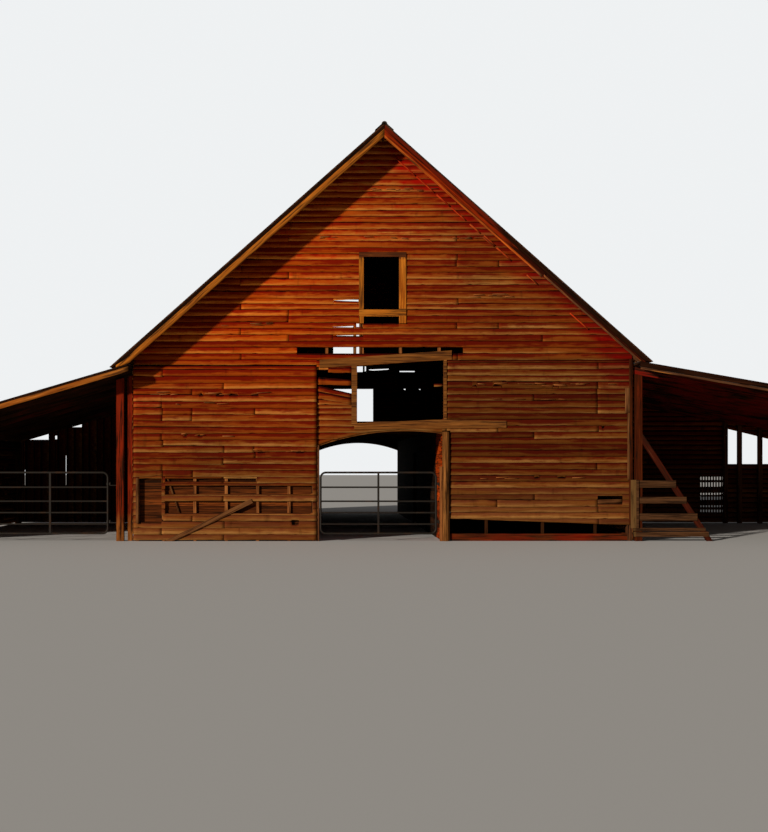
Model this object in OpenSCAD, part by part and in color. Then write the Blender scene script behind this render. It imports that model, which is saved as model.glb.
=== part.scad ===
// Weathered horse barn with a central aisle, a hay loft and an open shed along each side.
// Millimetres. X runs across the front, Y runs from the front gable to the back, Z is up.
// The origin is on the ground, under the middle of the roof.

/* [Barn] */
// Width over the corner posts
barn_w = 10360; // [8600:10:12500]
// Length over the end frames
barn_l = 15240; // [12700:10:18400]
// Height of the top of the wall plates
wall_h = 3790; // [3500:10:4600]
// Slope of the main roof in degrees
roof_pitch = 41.6; // [36:0.1:46]
// How far the roofs reach past the gable walls
gable_overhang = 610; // [450:10:750]
// Height of one course of siding
course = 130; // [110:1:150]
// Thickness of the siding
siding_t = 22; // [18:1:30]

/* [Timbers] */
// Side of a square post
post_side = 150; // [120:1:180]
// Width of a wall plate
plate_w = 100; // [90:1:120]
// Depth of a wall plate
plate_d = 150; // [120:1:180]
// Width of a stud
stud_w = 60; // [50:1:80]
// Depth of a stud
stud_d = 50; // [40:1:60]
// Depth of the studs that carry the outer skin beside the doorway
furring_d = 60; // [50:1:100]
// Depth of the sills on the ground
sill_h = 150; // [120:1:200]
// Thickness of the planks behind that skin
plank_t = 25; // [20:1:30]

/* [Doorway] */
// Width of the doorway
door_w = 2560; // [2130:10:3080]
// Middle of the doorway, measured from the middle of the barn
door_x = -50; // [-300:10:300]
// Height of the crown of the doorway's arch
door_h = 2310; // [2000:10:2700]
// Radius of the front arch
front_arch_r = 5344; // [4800:1:6400]
// Crown of the front arch, measured from the middle of the doorway
front_crown_x = 508; // [400:1:560]
// Radius of the back arch
back_arch_r = 3560; // [3200:10:4200]
// Radius of the log beside the doorway
log_r = 77; // [60:1:95]

/* [Loft] */
// Depth of a floor joist
joist_d = 120; // [100:1:160]
// Thickness of a floor joist
joist_t = 60; // [45:1:80]
// Number of floor joists
joist_count = 13; // [10:1:16]
// Thickness of the loft floor
floor_t = 30; // [25:1:40]
// Width of the loft's front opening
loft_w = 1800; // [1500:10:2100]
// Middle of that opening, measured from the middle of the doorway
loft_dx = 410; // [200:10:600]
// Middle of the gable window, measured from the middle of the barn
window_x = -34; // [-300:1:300]
// Width of the gable window
window_w = 740; // [600:10:900]
// Height of the gable window
window_h = 1240; // [1000:10:1500]
// Height of the window's sill board over the wall plates
window_rise = 875; // [700:5:1000]

/* [Main roof] */
// Height of a rafter's top over the outer edge of its plate
heel = 110; // [90:1:130]
// Depth of a rafter
rafter_d = 140; // [120:1:180]
// Thickness of a rafter
rafter_t = 50; // [40:1:60]
// Number of rafter pairs
rafter_pairs = 17; // [13:1:22]
// Thickness of the roof boards
deck_t = 25; // [20:1:30]
// Thickness of the metal sheets
sheet_t = 3; // [2:0.5:5]
// Height of a crimp in the sheets
crimp_h = 18; // [14:1:24]
// Distance between crimps
crimp_pitch = 305; // [200:5:400]
// Thickness of the ridge board
ridge_t = 30; // [25:1:40]
// Thickness of the rake boards and shed fascias
rake_t = 40; // [25:1:50]
// Depth of the rake boards
rake_d = 105; // [90:1:140]
// Width of one wing of the ridge cap
cap_wing = 190; // [150:5:240]
// Radius of the roll along the top of the cap
cap_roll = 60; // [45:1:75]

/* [Side sheds] */
// Length of both sheds, from the front frame back
shed_l = 8020; // [6600:10:9600]
// Width of the left shed, from the barn's corner posts to the outside of its own posts
left_shed_w = 4370; // [3640:10:5250]
// Width of the right shed, measured the same way
right_shed_w = 6250; // [5200:10:7500]
// Slope of the left shed's roof in degrees
left_slope = 16.4; // [13.5:0.1:19]
// Slope of the right shed's roof in degrees
right_slope = 9.8; // [8:0.1:12]
// How far the left purlins' top lies under the top of the wall plates, at the wall
left_drop = 150; // [130:1:200]
// The same for the right purlins
right_drop = 103; // [95:1:150]
// How far the shed roofs reach past their posts
shed_overhang = 250; // [150:10:350]
// How far the shed roofs reach past their back walls
back_overhang = 150; // [100:10:300]
// Depth of a purlin
purlin_t = 40; // [35:1:50]
// Width of a purlin
purlin_w = 90; // [70:1:110]
// Spacing of the purlins
purlin_gap = 640; // [500:10:900]
// Depth of the left shed's rafters
left_rafter_d = 150; // [120:1:180]
// Depth of the right shed's rafters
right_rafter_d = 170; // [140:1:200]
// Number of rafters on a shed
shed_rafter_count = 7; // [5:1:9]
// Number of posts along the outer side of a shed
shed_post_count = 4; // [3:1:5]
// Depth of a shed's outer beam
beam_d = 160; // [140:1:200]
// Width of a shed's outer beam
beam_w = 100; // [80:1:120]
// Height of the boarding along the right shed's outer side
fence_h = 1250; // [1000:10:1500]

/* [Gates] */
// Radius of a gate's outer tube
tube_r = 21; // [19:1:25]
// Radius of a gate's rails
rail_r = 17; // [14:1:18]
// Radius of a gate's corner bends
bend_r = 110; // [90:1:130]
// Height of a gate's lowest tube over the ground
gate_clear = 156; // [120:1:200]
// Length of a bay between a gate's stiles, to which whole bays come nearest
gate_bay = 1220; // [1000:10:1400]
// Radius of a hinge pin
pin_r = 9.5; // [8:0.5:12]
// Clearance between a hinge pin and its eye, all round
pin_clear = 1; // [0.5:0.1:2]
// Distance from a hinge pin to the gate's end tube
eye_reach = 48; // [44:1:56]
// Distance from the aisle gate's pins to its hinge board
pin_stand = 30; // [28:1:40]
// Distance from the shed gate's pins to its post
shed_pin_stand = 140; // [90:1:180]
// Play between the free end of the aisle gate and the other side of the doorway
aisle_gate_play = 13; // [8:1:60]
// Play between the free end of the shed gate and the shed's outer post
shed_gate_play = 36; // [8:1:80]

/* [Hidden] */

$fn = 48;
arch_fn = 360;     // facets of a full circle of the wide arches
gap = 2;           // play left between timbers that only lie near each other
seat = 5;          // play between the main roof's tails and the shed roofs
far = 4000;        // reach of a cutting block past what it cuts

// Places that the walls share
half_w = barn_w / 2;
half_l = barn_l / 2;
face_x = half_w + siding_t;               // outer face of a side wall
face_y = -half_l - siding_t;              // outer face of the front gable
skin_y = -half_l - furring_d - siding_t;  // outer face of the skin left of the doorway
door_l = door_x - door_w / 2;
door_r = door_x + door_w / 2;
log_x = door_r + log_r;
log_y = face_y - 10;
torn_stud = 620;                          // stud between the torn bays, from the corner
wall_left_end = door_l - 50;              // the skin's end beside the doorway
wall_right_start = log_x + log_r + 18;    // the siding's start beside the log
skin_h = wall_h - 150;                    // top of the skin left of the doorway
lower_h = wall_h - 30;                    // where the gable's siding starts
sill_left = 468;                          // torn lower edge of the right siding, at the log
sill_right = 333;                         // and at the corner

// Loft
joist_z = door_h + 30;
floor_z = joist_z + joist_d;
loft_l = door_x + loft_dx - loft_w / 2;
loft_r = loft_l + loft_w;
loft_sill = floor_z + floor_t - 42;
loft_sag = 79;                            // how much higher the opening's right end is
loft_top = wall_h - 150;
loft_top_sag = 114;
jamb_w = 115;                             // width of the opening's left jamb

// Window and the course of siding that is missing under it
window_l = window_x - window_w / 2;
window_r = window_l + window_w;
window_z = wall_h + window_rise;
window_top = window_z + window_h;
window_gap = 143;                         // open strip under the window's sill board
trim_w = 95;
trim_t = 30;
lost_z = wall_h + 110;
lost_l = door_l - 460;
lost_r = loft_r + 404;

// Main roof
run_z = wall_h + heel;                    // rafters' top over the outer edge of the plate
ridge_z = run_z + half_w * tan(roof_pitch);
ridge_top = ridge_z - ridge_t / 2 * tan(roof_pitch) - gap;
ridge_d = 190;                            // depth of the ridge board
up_run = half_w / cos(roof_pitch);
sheet_h = sheet_t + crimp_h;
roof_l = barn_l + 2 * gable_overhang;

// Openings of the back gable
back_loft_r = door_l + 1760;
back_loft_top = wall_h + 270;
header_z = back_loft_top + 100;           // top of the header over the loft's back opening
hay_door = [-874, 95, wall_h + 1360, ridge_z - 1510];  // left, right, sill, head

// Sheds: side, slope, outer face of the posts, depth of the rafters, height of the purlins' top at the wall
sheds = [
    [-1, left_slope, half_w + left_shed_w, left_rafter_d, wall_h - left_drop],
    [1, right_slope, half_w + right_shed_w, right_rafter_d, wall_h - right_drop]
];
shed_back = shed_l - half_l;              // outer face of the sheds' last posts
shed_front = -half_l - gable_overhang;    // front edge of the shed roofs
shed_roof_l = shed_back + back_overhang - shed_front;
barn_x = (left_shed_w - right_shed_w) / 2;   // the barn's middle, from the middle of the whole

// Gates
rail_z = [0, 195, 433, 670, 961, 1267];      // rails over the lowest tube
hinge_z = [gate_clear + 250, gate_clear + 1030];
eye_h = 40;
eye_r = pin_r + pin_clear + 8;
board_t = 50;                                // thickness of the hinge board
aisle_pin = [door_r - board_t - pin_stand, log_y];
left_post_l = -face_x - 335;                 // outer face of the left shed's inner front post
left_post_w = 150;
shed_pin = [left_post_l - shed_pin_stand, -half_l];
pin_offset = eye_reach - tube_r;             // from a pin to the frame's end
aisle_gate_l = aisle_pin[0] - pin_offset - door_l - aisle_gate_play;
shed_gate_l = shed_pin[0] - pin_offset + sheds[0][2] - post_side - shed_gate_play;
right_post_l = face_x + 25;                  // inner face of the right corner post
right_post_w = 150;
ledger_t = 45;
fascia_d = 95;
tail_cut = 30;                               // how far the shed timbers stop short of the sheets' edge
right_face = sheds[1][2];
end_posts = [right_face - 1765, right_face - 1382, right_face - 830];  // posts of its back wall
slat_l = right_face - 2420;                  // slatted bay of that wall
slat_w = 640;
end_post_w = 110;
slat_gaps = [[291, 359], [427, 475], [627, 711], [763, 814], [981, 1098], [1166, 1250]];

// Height of the rafters' underside at a distance x from the ridge
function under_rafter(x) = ridge_z - x * tan(roof_pitch) - rafter_d / cos(roof_pitch);
// How far past the wall the rafters' top runs before it meets a shed's roof
function eave_run(shed) =
    (run_z - shed[4] - (sheet_h + seat) / cos(shed[1]) - siding_t * tan(shed[1]))
    / (tan(roof_pitch) - tan(shed[1]));
// Height of a plane that lies z over a shed's purlins, at a distance x from the middle
function shed_plane(shed, z, x) = shed[4] + z / cos(shed[1]) - (x - face_x) * tan(shed[1]);
// Height of the rafters' underside in a shed, and of its beam's top
function under_shed(shed, x) = shed_plane(shed, -purlin_t - shed[3], x);
function beam_top(shed, x = undef) = under_shed(shed, is_undef(x) ? shed[2] - post_side / 2 : x);
// Where a piece of a depth under the purlins' top may start down the slope, clear of the wall
function head_start(slope, depth) = depth * tan(slope) + gap / cos(slope);
// Length of a shed's roof, down the slope
function slope_length(shed) =
    (shed[2] + shed_overhang - face_x - sheet_h * sin(shed[1])) / cos(shed[1]);
// Positions of n things of a thickness, spread over a length from its start to its end
function spread(n, length, thick) = [for (i = [0 : n - 1]) i * (length - thick) / (n - 1)];
// Side view of crimped sheet: the upper line runs out and the lower line runs back
function crimps(length) =
    let (n = floor(length / crimp_pitch), first = (length - (n - 1) * crimp_pitch) / 2)
    [for (i = [0 : n - 1]) each [
        [first + i * crimp_pitch - crimp_h, 0],
        [first + i * crimp_pitch, crimp_h],
        [first + i * crimp_pitch + crimp_h, 0]
    ]];
function reversed(v) = [for (i = [len(v) - 1 : -1 : 0]) v[i]];
function sheet_profile(length) = concat(
    [[0, 0]], crimps(length), [[length, 0], [length, sheet_t]],
    reversed([for (p = crimps(length)) p + [0, sheet_t]]), [[0, sheet_t]]);

// Plain blocks by their limits
module block(x, y, z) {
    translate([x[0], y[0], z[0]]) cube([x[1] - x[0], y[1] - y[0], z[1] - z[0]]);
}
// A board or wall drawn from the front and given a depth from y0 back to y1
module upright(points, y0, y1) {
    translate([0, y1, 0]) rotate([90, 0, 0]) linear_extrude(y1 - y0) polygon(points);
}
module both_sides() {
    children();
    mirror([1, 0, 0]) children();
}
module both_ends() {
    children();
    mirror([0, 1, 0]) children();
}
module on_side(side) {
    if (side < 0) mirror([1, 0, 0]) children();
    else children();
}
// Everything is drawn from the barn's middle
module placed() {
    translate([barn_x, 0, 0]) children();
}
// The main roof's own frame: x runs down the slope from the plate's outer edge, z off the rafters' top
module on_roof() {
    translate([half_w, 0, run_z]) rotate([0, roof_pitch, 0]) children();
}
// A shed roof's own frame: x runs down from the wall's face, z off the purlins' top
module on_shed(shed) {
    translate([face_x, 0, shed[4]]) rotate([0, shed[1], 0]) children();
}

// Sills on the ground between the posts
module ground_sills() color("saddlebrown") placed() {
    bay = (barn_l - post_side) / 4;
    both_sides() for (i = [0 : 3])
        block([half_w - plate_w, half_w], [-half_l + post_side + i * bay, -half_l + (i + 1) * bay],
            [0, sill_h]);
    block([wall_right_start, half_w - plate_w], [-half_l, -half_l + stud_d], [0, sill_h]);
}

// Posts at the corners and along the side walls
module wall_posts() color("saddlebrown") placed() {
    both_sides() for (y = spread(5, barn_l, post_side))
        block([half_w - plate_w, half_w], [-half_l + y, -half_l + y + post_side], [0, wall_h - plate_d]);
}

// Holes for the rods of hinge bolts
module bolt_holes(x, y, reach) {
    for (z = hinge_z) translate([x, y, z - eye_h / 2 - 1 - pin_r])
        rotate([0, 90, 0]) cylinder(r = pin_r + 0.5, h = reach);
}

module door_posts() color("peru") placed() {
    block([door_l - post_side, door_l], [-half_l - furring_d, -half_l], [0, door_h - 320 - gap]);
    block([door_l - post_side, door_l], [-half_l, -half_l + stud_d], [0, joist_z]);
    for (x = [[door_l - post_side, door_l], [door_r, door_r + post_side]])
        block(x, [half_l - post_side, half_l], [0, joist_z]);
}

module log_post() color("tan") placed() {
    difference() {
        translate([log_x, log_y, 0]) cylinder(r = log_r, h = door_h - 40);
        bolt_holes(aisle_pin[0], log_y, board_t + pin_stand + log_r);
    }
}

// Board between the log and the aisle gate's hinges
module hinge_board() color("tan") placed() {
    difference() {
        block([door_r - board_t, door_r], [log_y - 65, log_y + 65], [0, 1548]);
        bolt_holes(aisle_pin[0], log_y, board_t + pin_stand + 10);
    }
}

// Top plates, and the girts that carry the outer ends of the joists
module wall_plates() color("saddlebrown") placed() {
    both_sides() {
        block([half_w - plate_w, half_w], [-half_l, half_l], [wall_h - plate_d, wall_h]);
        block([half_w - 2 * plate_w, half_w - plate_w], [-half_l + post_side, half_l - post_side],
            [joist_z - joist_d, joist_z]);
    }
}

// Girts across the gables, with a way left for the loft's opening at the back
module end_girts() color("saddlebrown") placed() {
    y = [half_l - rafter_t - plate_w, half_l - rafter_t - gap];
    z = [wall_h, wall_h + 100];
    block([-half_w, half_w], [-y[1], -y[0]], z);
    for (x = [[-half_w, door_l], [back_loft_r, half_w]]) block(x, y, z);
}

// Studs behind the skin left of the doorway
module front_furring() color("peru") placed() {
    first = -half_w + torn_stud;
    last = wall_left_end - 575;
    centres = concat([-half_w + 84], [for (i = [0 : 4]) first + i * (last - first) / 4]);
    for (x = centres)
        block([x - stud_w / 2, x + stud_w / 2], [-half_l - furring_d, -half_l], [0, skin_h - siding_t - gap]);
}

// A stud behind the siding of a gable, cut to the rafters
module gable_stud(x, z0, y) {
    low = under_rafter(half_w) - gap;
    intersection() {
        block([x - stud_w / 2, x + stud_w / 2], y, [z0, ridge_z]);
        upright([[-half_w, 0], [half_w, 0], [half_w, low], [0, under_rafter(0) - gap], [-half_w, low]],
            y[0] - 1, y[1] + 1);
    }
}
module gable_studs() color("peru") placed() {
    front = [-half_l, -half_l + stud_d];
    back = [half_l - stud_d, half_l];
    upper = wall_h + gap;
    for (x = [-0.64, -0.43, 0.43, 0.64] * half_w) {
        gable_stud(x, upper, front);
        gable_stud(x, upper, back);
    }
    for (x = [-1170, window_l - stud_w / 2, window_r + stud_w / 2, 1170]) gable_stud(x, upper, front);
    hay_studs = [hay_door[0] - stud_w / 2, hay_door[1] + stud_w / 2];
    for (x = [-1170, hay_studs[0], hay_studs[1], 1170])
        gable_stud(x, x > door_l && x < back_loft_r ? header_z : upper, back);
    block([door_l - stud_w, back_loft_r + stud_w], back, [back_loft_top, header_z]);
    right_bay = half_w - wall_right_start;
    for (k = [0.19, 0.5, 0.79]) {
        x = wall_right_start + k * right_bay;
        block([x, x + stud_w], front, [sill_h, wall_h]);
        both_sides() block([x, x + stud_w], back, [0, wall_h]);
    }
    for (x = [loft_l - stud_w, loft_r]) block([x, x + stud_w], front, [joist_z, wall_h]);
    for (x = [door_l - stud_w, back_loft_r]) block([x, x + stud_w], back, [joist_z, back_loft_top]);
}

// Old planks that show between the furring
module inner_boards() color("brown") placed() {
    block([-half_w + plate_w + 10, door_l - post_side - 10], [-half_l, -half_l + plank_t],
        [0, joist_z]);
}

// Outer skin left of the doorway, with the boards that have come off
module front_wall_left() color("firebrick") placed() {
    l = -half_w;
    r = wall_left_end;
    difference() {
        union() {
            block([l, r], [skin_y, skin_y + siding_t], [0, skin_h]);
            block([l, r], [skin_y + siding_t, face_y], [skin_h - siding_t, skin_h]);
        }
        bay = l + torn_stud + 36;
        holes = [
            [[l + 118, l + torn_stud - 35], [395, 1300]],
            [[bay, r - 1240], [1235, 1300]],
            [[bay, r - 80], [975, 1150]],
            [[bay, r - 80], [580, 830]],
            [[r - 590, r - 420], [337, 430]]
        ];
        for (h = holes) block(h[0], [skin_y - 10, skin_y + siding_t + 10], h[1]);
    }
}

module front_wall_right() color("firebrick") placed() {
    difference() {
        upright([[wall_right_start, sill_left], [half_w, sill_right], [half_w, lower_h],
            [wall_right_start, lower_h]], face_y, -half_l);
        block([half_w - 720, half_w - 200], [face_y - 10, -half_l + 10], [776, 936]);
    }
}

// A doorway's arched head, drawn from the front
module arch_cut(crown_x, r, l, right, y0, y1) {
    intersection() {
        translate([crown_x, y1, door_h - r]) rotate([90, 0, 0])
            cylinder(r = r, h = y1 - y0, $fn = arch_fn);
        block([l, right], [y0, y1], [0, door_h + 10]);
    }
}
module loft_cut(y0, y1) {
    upright([[loft_l, loft_sill], [loft_r, loft_sill + loft_sag], [loft_r, loft_top + loft_top_sag],
        [loft_l, loft_top]], y0, y1);
}

// Siding over the doorway, with the loft opening and the sprung boards beside it
module front_over_door() color("firebrick") placed() {
    y0 = face_y - 10;
    y1 = -half_l + 10;
    difference() {
        block([wall_left_end, wall_right_start], [face_y, -half_l], [door_h - 320, lower_h]);
        arch_cut(door_x + front_crown_x, front_arch_r, door_l, door_r, y0, y1);
        block([door_r, wall_right_start + 1], [y0, y1], [0, door_h - 20]);
        loft_cut(y0, y1);
        upright([[loft_l - 600, loft_top - 500], [loft_l - jamb_w, loft_top - 585],
            [loft_l - jamb_w, loft_top - 475]], y0, y1);
    }
}

// A gable up to the roof boards, notched round the ridge board
module gable_outline(y0, y1) {
    top = ridge_z - gap / cos(roof_pitch);
    low = top - half_w * tan(roof_pitch);
    notch = ridge_t / 2 + gap;
    difference() {
        upright([[-half_w, lower_h], [half_w, lower_h], [half_w, low], [0, top], [-half_w, low]], y0, y1);
        block([-notch, notch], [y0 - 1, y1 + 1], [ridge_top - ridge_d - gap, ridge_z]);
    }
}

module front_gable() color("firebrick") placed() {
    y = [face_y - 10, -half_l + 10];
    difference() {
        union() {
            gable_outline(face_y, -half_l);
            block([-half_w, wall_left_end], [face_y, -half_l], [skin_h - siding_t, lower_h]);
        }
        block([window_l, window_r], y, [window_z - window_gap, window_top]);
        block([lost_l, lost_r], y, [lost_z, lost_z + course]);
        loft_cut(y[0], y[1]);
    }
}

module back_wall() color("firebrick") placed() {
    for (x = [[-half_w, door_l], [door_r, half_w]]) block(x, [half_l, half_l + siding_t], [0, lower_h]);
}

module back_gable() color("firebrick") placed() {
    y = [half_l - 10, half_l + siding_t + 10];
    difference() {
        union() {
            gable_outline(half_l, half_l + siding_t);
            block([door_l, door_r], [half_l, half_l + siding_t], [door_h - 320, lower_h]);
        }
        arch_cut(door_x, back_arch_r, door_l - 1, door_r + 1, y[0], y[1]);
        block([door_l, back_loft_r], y, [loft_sill, back_loft_top]);
        block([hay_door[0], hay_door[1]], y, [hay_door[2], hay_door[3]]);
    }
}

module side_walls() color("firebrick") placed() {
    both_sides() block([half_w, face_x], [-half_l, half_l], [0, under_rafter(face_x) - seat]);
}

// Curved boards that line the two arches
module arch_board(crown_x, r, y0) {
    intersection() {
        difference() {
            translate([crown_x, y0 + plank_t, door_h - r]) rotate([90, 0, 0])
                cylinder(r = r + 60, h = plank_t, $fn = arch_fn);
            translate([crown_x, y0 + plank_t + 1, door_h - r]) rotate([90, 0, 0])
                cylinder(r = r - 25, h = plank_t + 2, $fn = arch_fn);
        }
        block([door_l + gap, door_r - gap], [y0 - 1, y0 + plank_t + 1], [door_h - 600, joist_z - gap]);
    }
}
module arch_boards() color("peru") placed() {
    arch_board(door_x + front_crown_x, front_arch_r, -half_l);
    arch_board(door_x, back_arch_r, half_l - plank_t);
}

// Trim and sill board of the gable window
module window_frame() color("peru") placed() {
    y = [face_y - trim_t, face_y];
    block([window_l - trim_w, window_l], y, [window_z - window_gap, window_top]);
    block([window_r, window_r + trim_w + 46], y, [window_z - window_gap, window_top]);
    block([window_l - trim_w, window_r + trim_w + 46], y, [window_top, window_top + trim_w]);
    block([window_l, window_r], y, [window_z, window_z + 144]);
}

// Jambs, leaning head board and sill board of the loft opening
module loft_frame() color("peru") placed() {
    y0 = face_y - plank_t;
    upright([[wall_left_end + 60, loft_top - 40], [loft_r + 165, loft_top + 130],
        [loft_r + 165, loft_top + 320], [wall_left_end + 60, loft_top + 125]], y0, face_y);
    block([loft_l - jamb_w, loft_l], [y0, face_y], [loft_sill - 60, loft_top + 20]);
    block([loft_r, loft_r + 62], [y0, face_y], [loft_sill + 40, loft_top + 150]);
    upright([[loft_l - 60, door_h + 5], [loft_r + 1300, door_h + 45], [loft_r + 1300, door_h + 185],
        [loft_r, loft_sill + loft_sag], [loft_l - 60, loft_sill - 4]], y0, face_y);
}

// Plank nailed across the torn skin
module diagonal_plank() color("peru") placed() {
    foot = -half_w + 635;
    rise = 832;
    reach = 1800;
    w = 95;
    intersection() {
        upright([[foot - w, -w / 2], [foot + w, -w / 2], [foot + reach + w / 2, rise - 0.4 * w],
            [foot + reach, rise + w / 2]], skin_y - rake_t, skin_y);
        block([-half_w, half_w], [skin_y - far, skin_y + far], [0, wall_h]);
    }
}

// The two rows of stalls beside the aisle: how long they are, and the way into each
stalls_l = barn_l - 2 * post_side - 4 * gap;
stall_way = [1100, 1900];
module aisle_sides() {
    translate([door_r, 0, 0]) children();
    translate([door_l, 0, 0]) mirror([1, 0, 0]) children();
}
module aisle_walls() color("sienna") placed() {
    aisle_sides() difference() {
        block([0, plank_t], [-stalls_l / 2, stalls_l / 2], [0, joist_z]);
        block([-1, plank_t + 1], [-stall_way[0] / 2, stall_way[0] / 2], [-1, stall_way[1]]);
    }
}
module stall_posts() color("sienna") placed() {
    aisle_sides() for (y = spread(6, stalls_l, stud_w))
        block([plank_t, post_side], [-stalls_l / 2 + y, -stalls_l / 2 + y + stud_w], [0, joist_z]);
}

module loft_joists() color("sienna") placed() {
    length = barn_l - 2 * (rafter_t + plate_w);
    for (y = spread(joist_count, length, joist_t))
        block([-half_w + plate_w, half_w - plate_w], [-length / 2 + y, -length / 2 + y + joist_t],
            [joist_z, floor_z]);
}
module loft_floor() color("sienna") placed() {
    length = barn_l - 2 * (rafter_t + plate_w);
    block([-half_w + plate_w, half_w - plate_w], [-length / 2, length / 2],
        [floor_z, floor_z + floor_t]);
}

// Everything under a shed's roof, to trim the main roof's tails
module shed_block(shed) {
    on_shed(shed) translate([0, -roof_l, -far]) cube([far, 2 * roof_l, far + sheet_h + seat]);
}
// A rafter of a thickness and a depth from the ridge to its tail, notched over the plate
module rafter(y, thick, deep, shed, ridge_gap) {
    difference() {
        on_roof() translate([-up_run - deep, y, -deep])
            cube([up_run + deep + eave_run(shed) / cos(roof_pitch), thick, deep]);
        block([-far, ridge_gap], [-roof_l, roof_l], [0, 3 * ridge_z]);
        block([half_w - plate_w, half_w], [-half_l, half_l], [wall_h - plate_d, wall_h]);
        shed_block(shed);
    }
}
module main_rafters() color("sienna") placed() {
    for (shed = sheds) on_side(shed[0])
        for (y = spread(rafter_pairs, barn_l, rafter_t))
            rafter(-half_l + y, rafter_t, rafter_d, shed, ridge_t / 2);
}

module ridge_board() color("sienna") placed() {
    block([-ridge_t / 2, ridge_t / 2], [-roof_l / 2 + rake_t, roof_l / 2 - rake_t],
        [ridge_top - ridge_d, ridge_top]);
}

// Boards under the metal, as one slab a slope
module roof_boards() color("sienna") placed() {
    for (shed = sheds) on_side(shed[0]) on_roof()
        translate([-(half_w - gap) / cos(roof_pitch), -roof_l / 2, 0])
            cube([(half_w - gap + eave_run(shed)) / cos(roof_pitch), roof_l, deck_t]);
}

module roof_sheets() color("dimgray") placed() {
    lap = 15;
    ridge_space = 30;
    for (shed = sheds) on_side(shed[0]) on_roof()
        translate([-(half_w - ridge_space) / cos(roof_pitch), -roof_l / 2, deck_t]) rotate([90, 0, 90])
            linear_extrude((half_w - ridge_space + eave_run(shed)) / cos(roof_pitch) + lap)
                polygon(sheet_profile(roof_l));
}

// Cap over the ridge: two wings, with a roll along the top
module ridge_cap() color("silver") placed() {
    low = ridge_z + (deck_t + sheet_h + 1) / cos(roof_pitch);
    high = low + sheet_t / cos(roof_pitch);
    drop = cap_wing * tan(roof_pitch);
    top = high + cap_roll;
    intersection() {
        union() {
            upright([[0, high], [cap_wing, high - drop], [cap_wing, low - drop - 1], [-cap_wing, low - drop - 1],
                [-cap_wing, high - drop]], -roof_l / 2, roof_l / 2);
            translate([0, roof_l / 2, high - 0.9 * cap_roll]) rotate([90, 0, 0])
                cylinder(r = cap_roll, h = roof_l);
        }
        upright([[0, low], [cap_wing, low - drop], [cap_wing, top], [-cap_wing, top],
            [-cap_wing, low - drop]], -roof_l / 2 - 1, roof_l / 2 + 1);
    }
}

module rake_boards() color("peru") placed() {
    for (shed = sheds) on_side(shed[0]) both_ends() rafter(-roof_l / 2, rake_t, rake_d, shed, gap);
}

// A post cut to the underside of a shed's rafters
module cut_post(shed, x, y, z0) {
    difference() {
        block(x, y, [z0, wall_h]);
        on_shed(shed) translate([-far, -roof_l, -purlin_t - shed[3] - gap])
            cube([3 * far, 2 * roof_l, far]);
    }
}

// Posts beside the barn's front corners, which carry the first shed rafters
module corner_posts() color("sienna") placed() {
    y = [-half_l - post_side / 2, -half_l + post_side / 2];
    difference() {
        on_side(-1) cut_post(sheds[0], [-left_post_l - left_post_w, -left_post_l], y, 0);
        bolt_holes(shed_pin[0], shed_pin[1], shed_pin_stand + left_post_w / 2);
    }
    on_side(-1) cut_post(sheds[0], [face_x + 10, face_x + 110], [-half_l + 10, -half_l + 70], 0);
    cut_post(sheds[1], [right_post_l, right_post_l + right_post_w], y, 0);
}

// Posts along the outer sides, and those of the right shed's back wall
module shed_posts() color("sienna") placed() {
    for (shed = sheds) on_side(shed[0]) {
        x = shed[2] - post_side;
        for (y = spread(shed_post_count, shed_l, post_side))
            block([x, shed[2]], [-half_l + y, -half_l + y + post_side], [0, beam_top(shed) - beam_d]);
    }
    for (x = end_posts)
        cut_post(sheds[1], [x - end_post_w / 2, x + end_post_w / 2], [shed_back - end_post_w, shed_back], 0);
}

// Outer beams on the posts, and ledgers on the barn's walls, bevelled to the rafters
module shed_beams() color("sienna") placed() {
    back = shed_back + back_overhang;
    for (shed = sheds) on_side(shed[0]) difference() {
        x = shed[2] - post_side / 2;
        union() {
            block([x - beam_w / 2, x + beam_w / 2], [shed_front + rake_t, back],
                [beam_top(shed) - beam_d, beam_top(shed) + beam_w]);
            block([face_x, face_x + ledger_t], [-half_l + post_side / 2 + gap, back],
                [beam_top(shed, face_x) - beam_d, beam_top(shed, face_x)]);
        }
        on_shed(shed) translate([-far, -roof_l, -purlin_t - shed[3]]) cube([3 * far, 2 * roof_l, far]);
    }
}

module shed_rafters() color("sienna") placed() {
    for (shed = sheds) on_side(shed[0]) {
        start = head_start(shed[1], purlin_t + shed[3]);
        for (y = spread(shed_rafter_count, shed_l - 450, rafter_t))
            on_shed(shed) translate([start, -half_l + y, -purlin_t - shed[3]])
                cube([slope_length(shed) - tail_cut - start, rafter_t, shed[3]]);
    }
}

module shed_purlins() color("sienna") placed() {
    for (shed = sheds) on_side(shed[0]) {
        n = ceil(slope_length(shed) / purlin_gap) + 1;
        start = head_start(shed[1], purlin_t);
        for (x = spread(n, slope_length(shed) - tail_cut - start, purlin_w))
            on_shed(shed) translate([start + x, shed_front + rake_t, -purlin_t])
                cube([purlin_w, shed_roof_l - 2 * rake_t, purlin_t]);
    }
}

module shed_sheets() color("dimgray") placed() {
    for (shed = sheds) on_side(shed[0]) on_shed(shed) translate([seat, shed_front, 0]) rotate([90, 0, 90])
        linear_extrude(slope_length(shed) - seat) polygon(sheet_profile(shed_roof_l));
}

module shed_fascias() color("peru") placed() {
    for (shed = sheds) on_side(shed[0]) {
        start = head_start(shed[1], fascia_d);
        for (y = [shed_front, shed_front + shed_roof_l - rake_t])
            on_shed(shed) translate([start, y, -fascia_d])
                cube([slope_length(shed) - tail_cut - start, rake_t, fascia_d]);
    }
}

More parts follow.
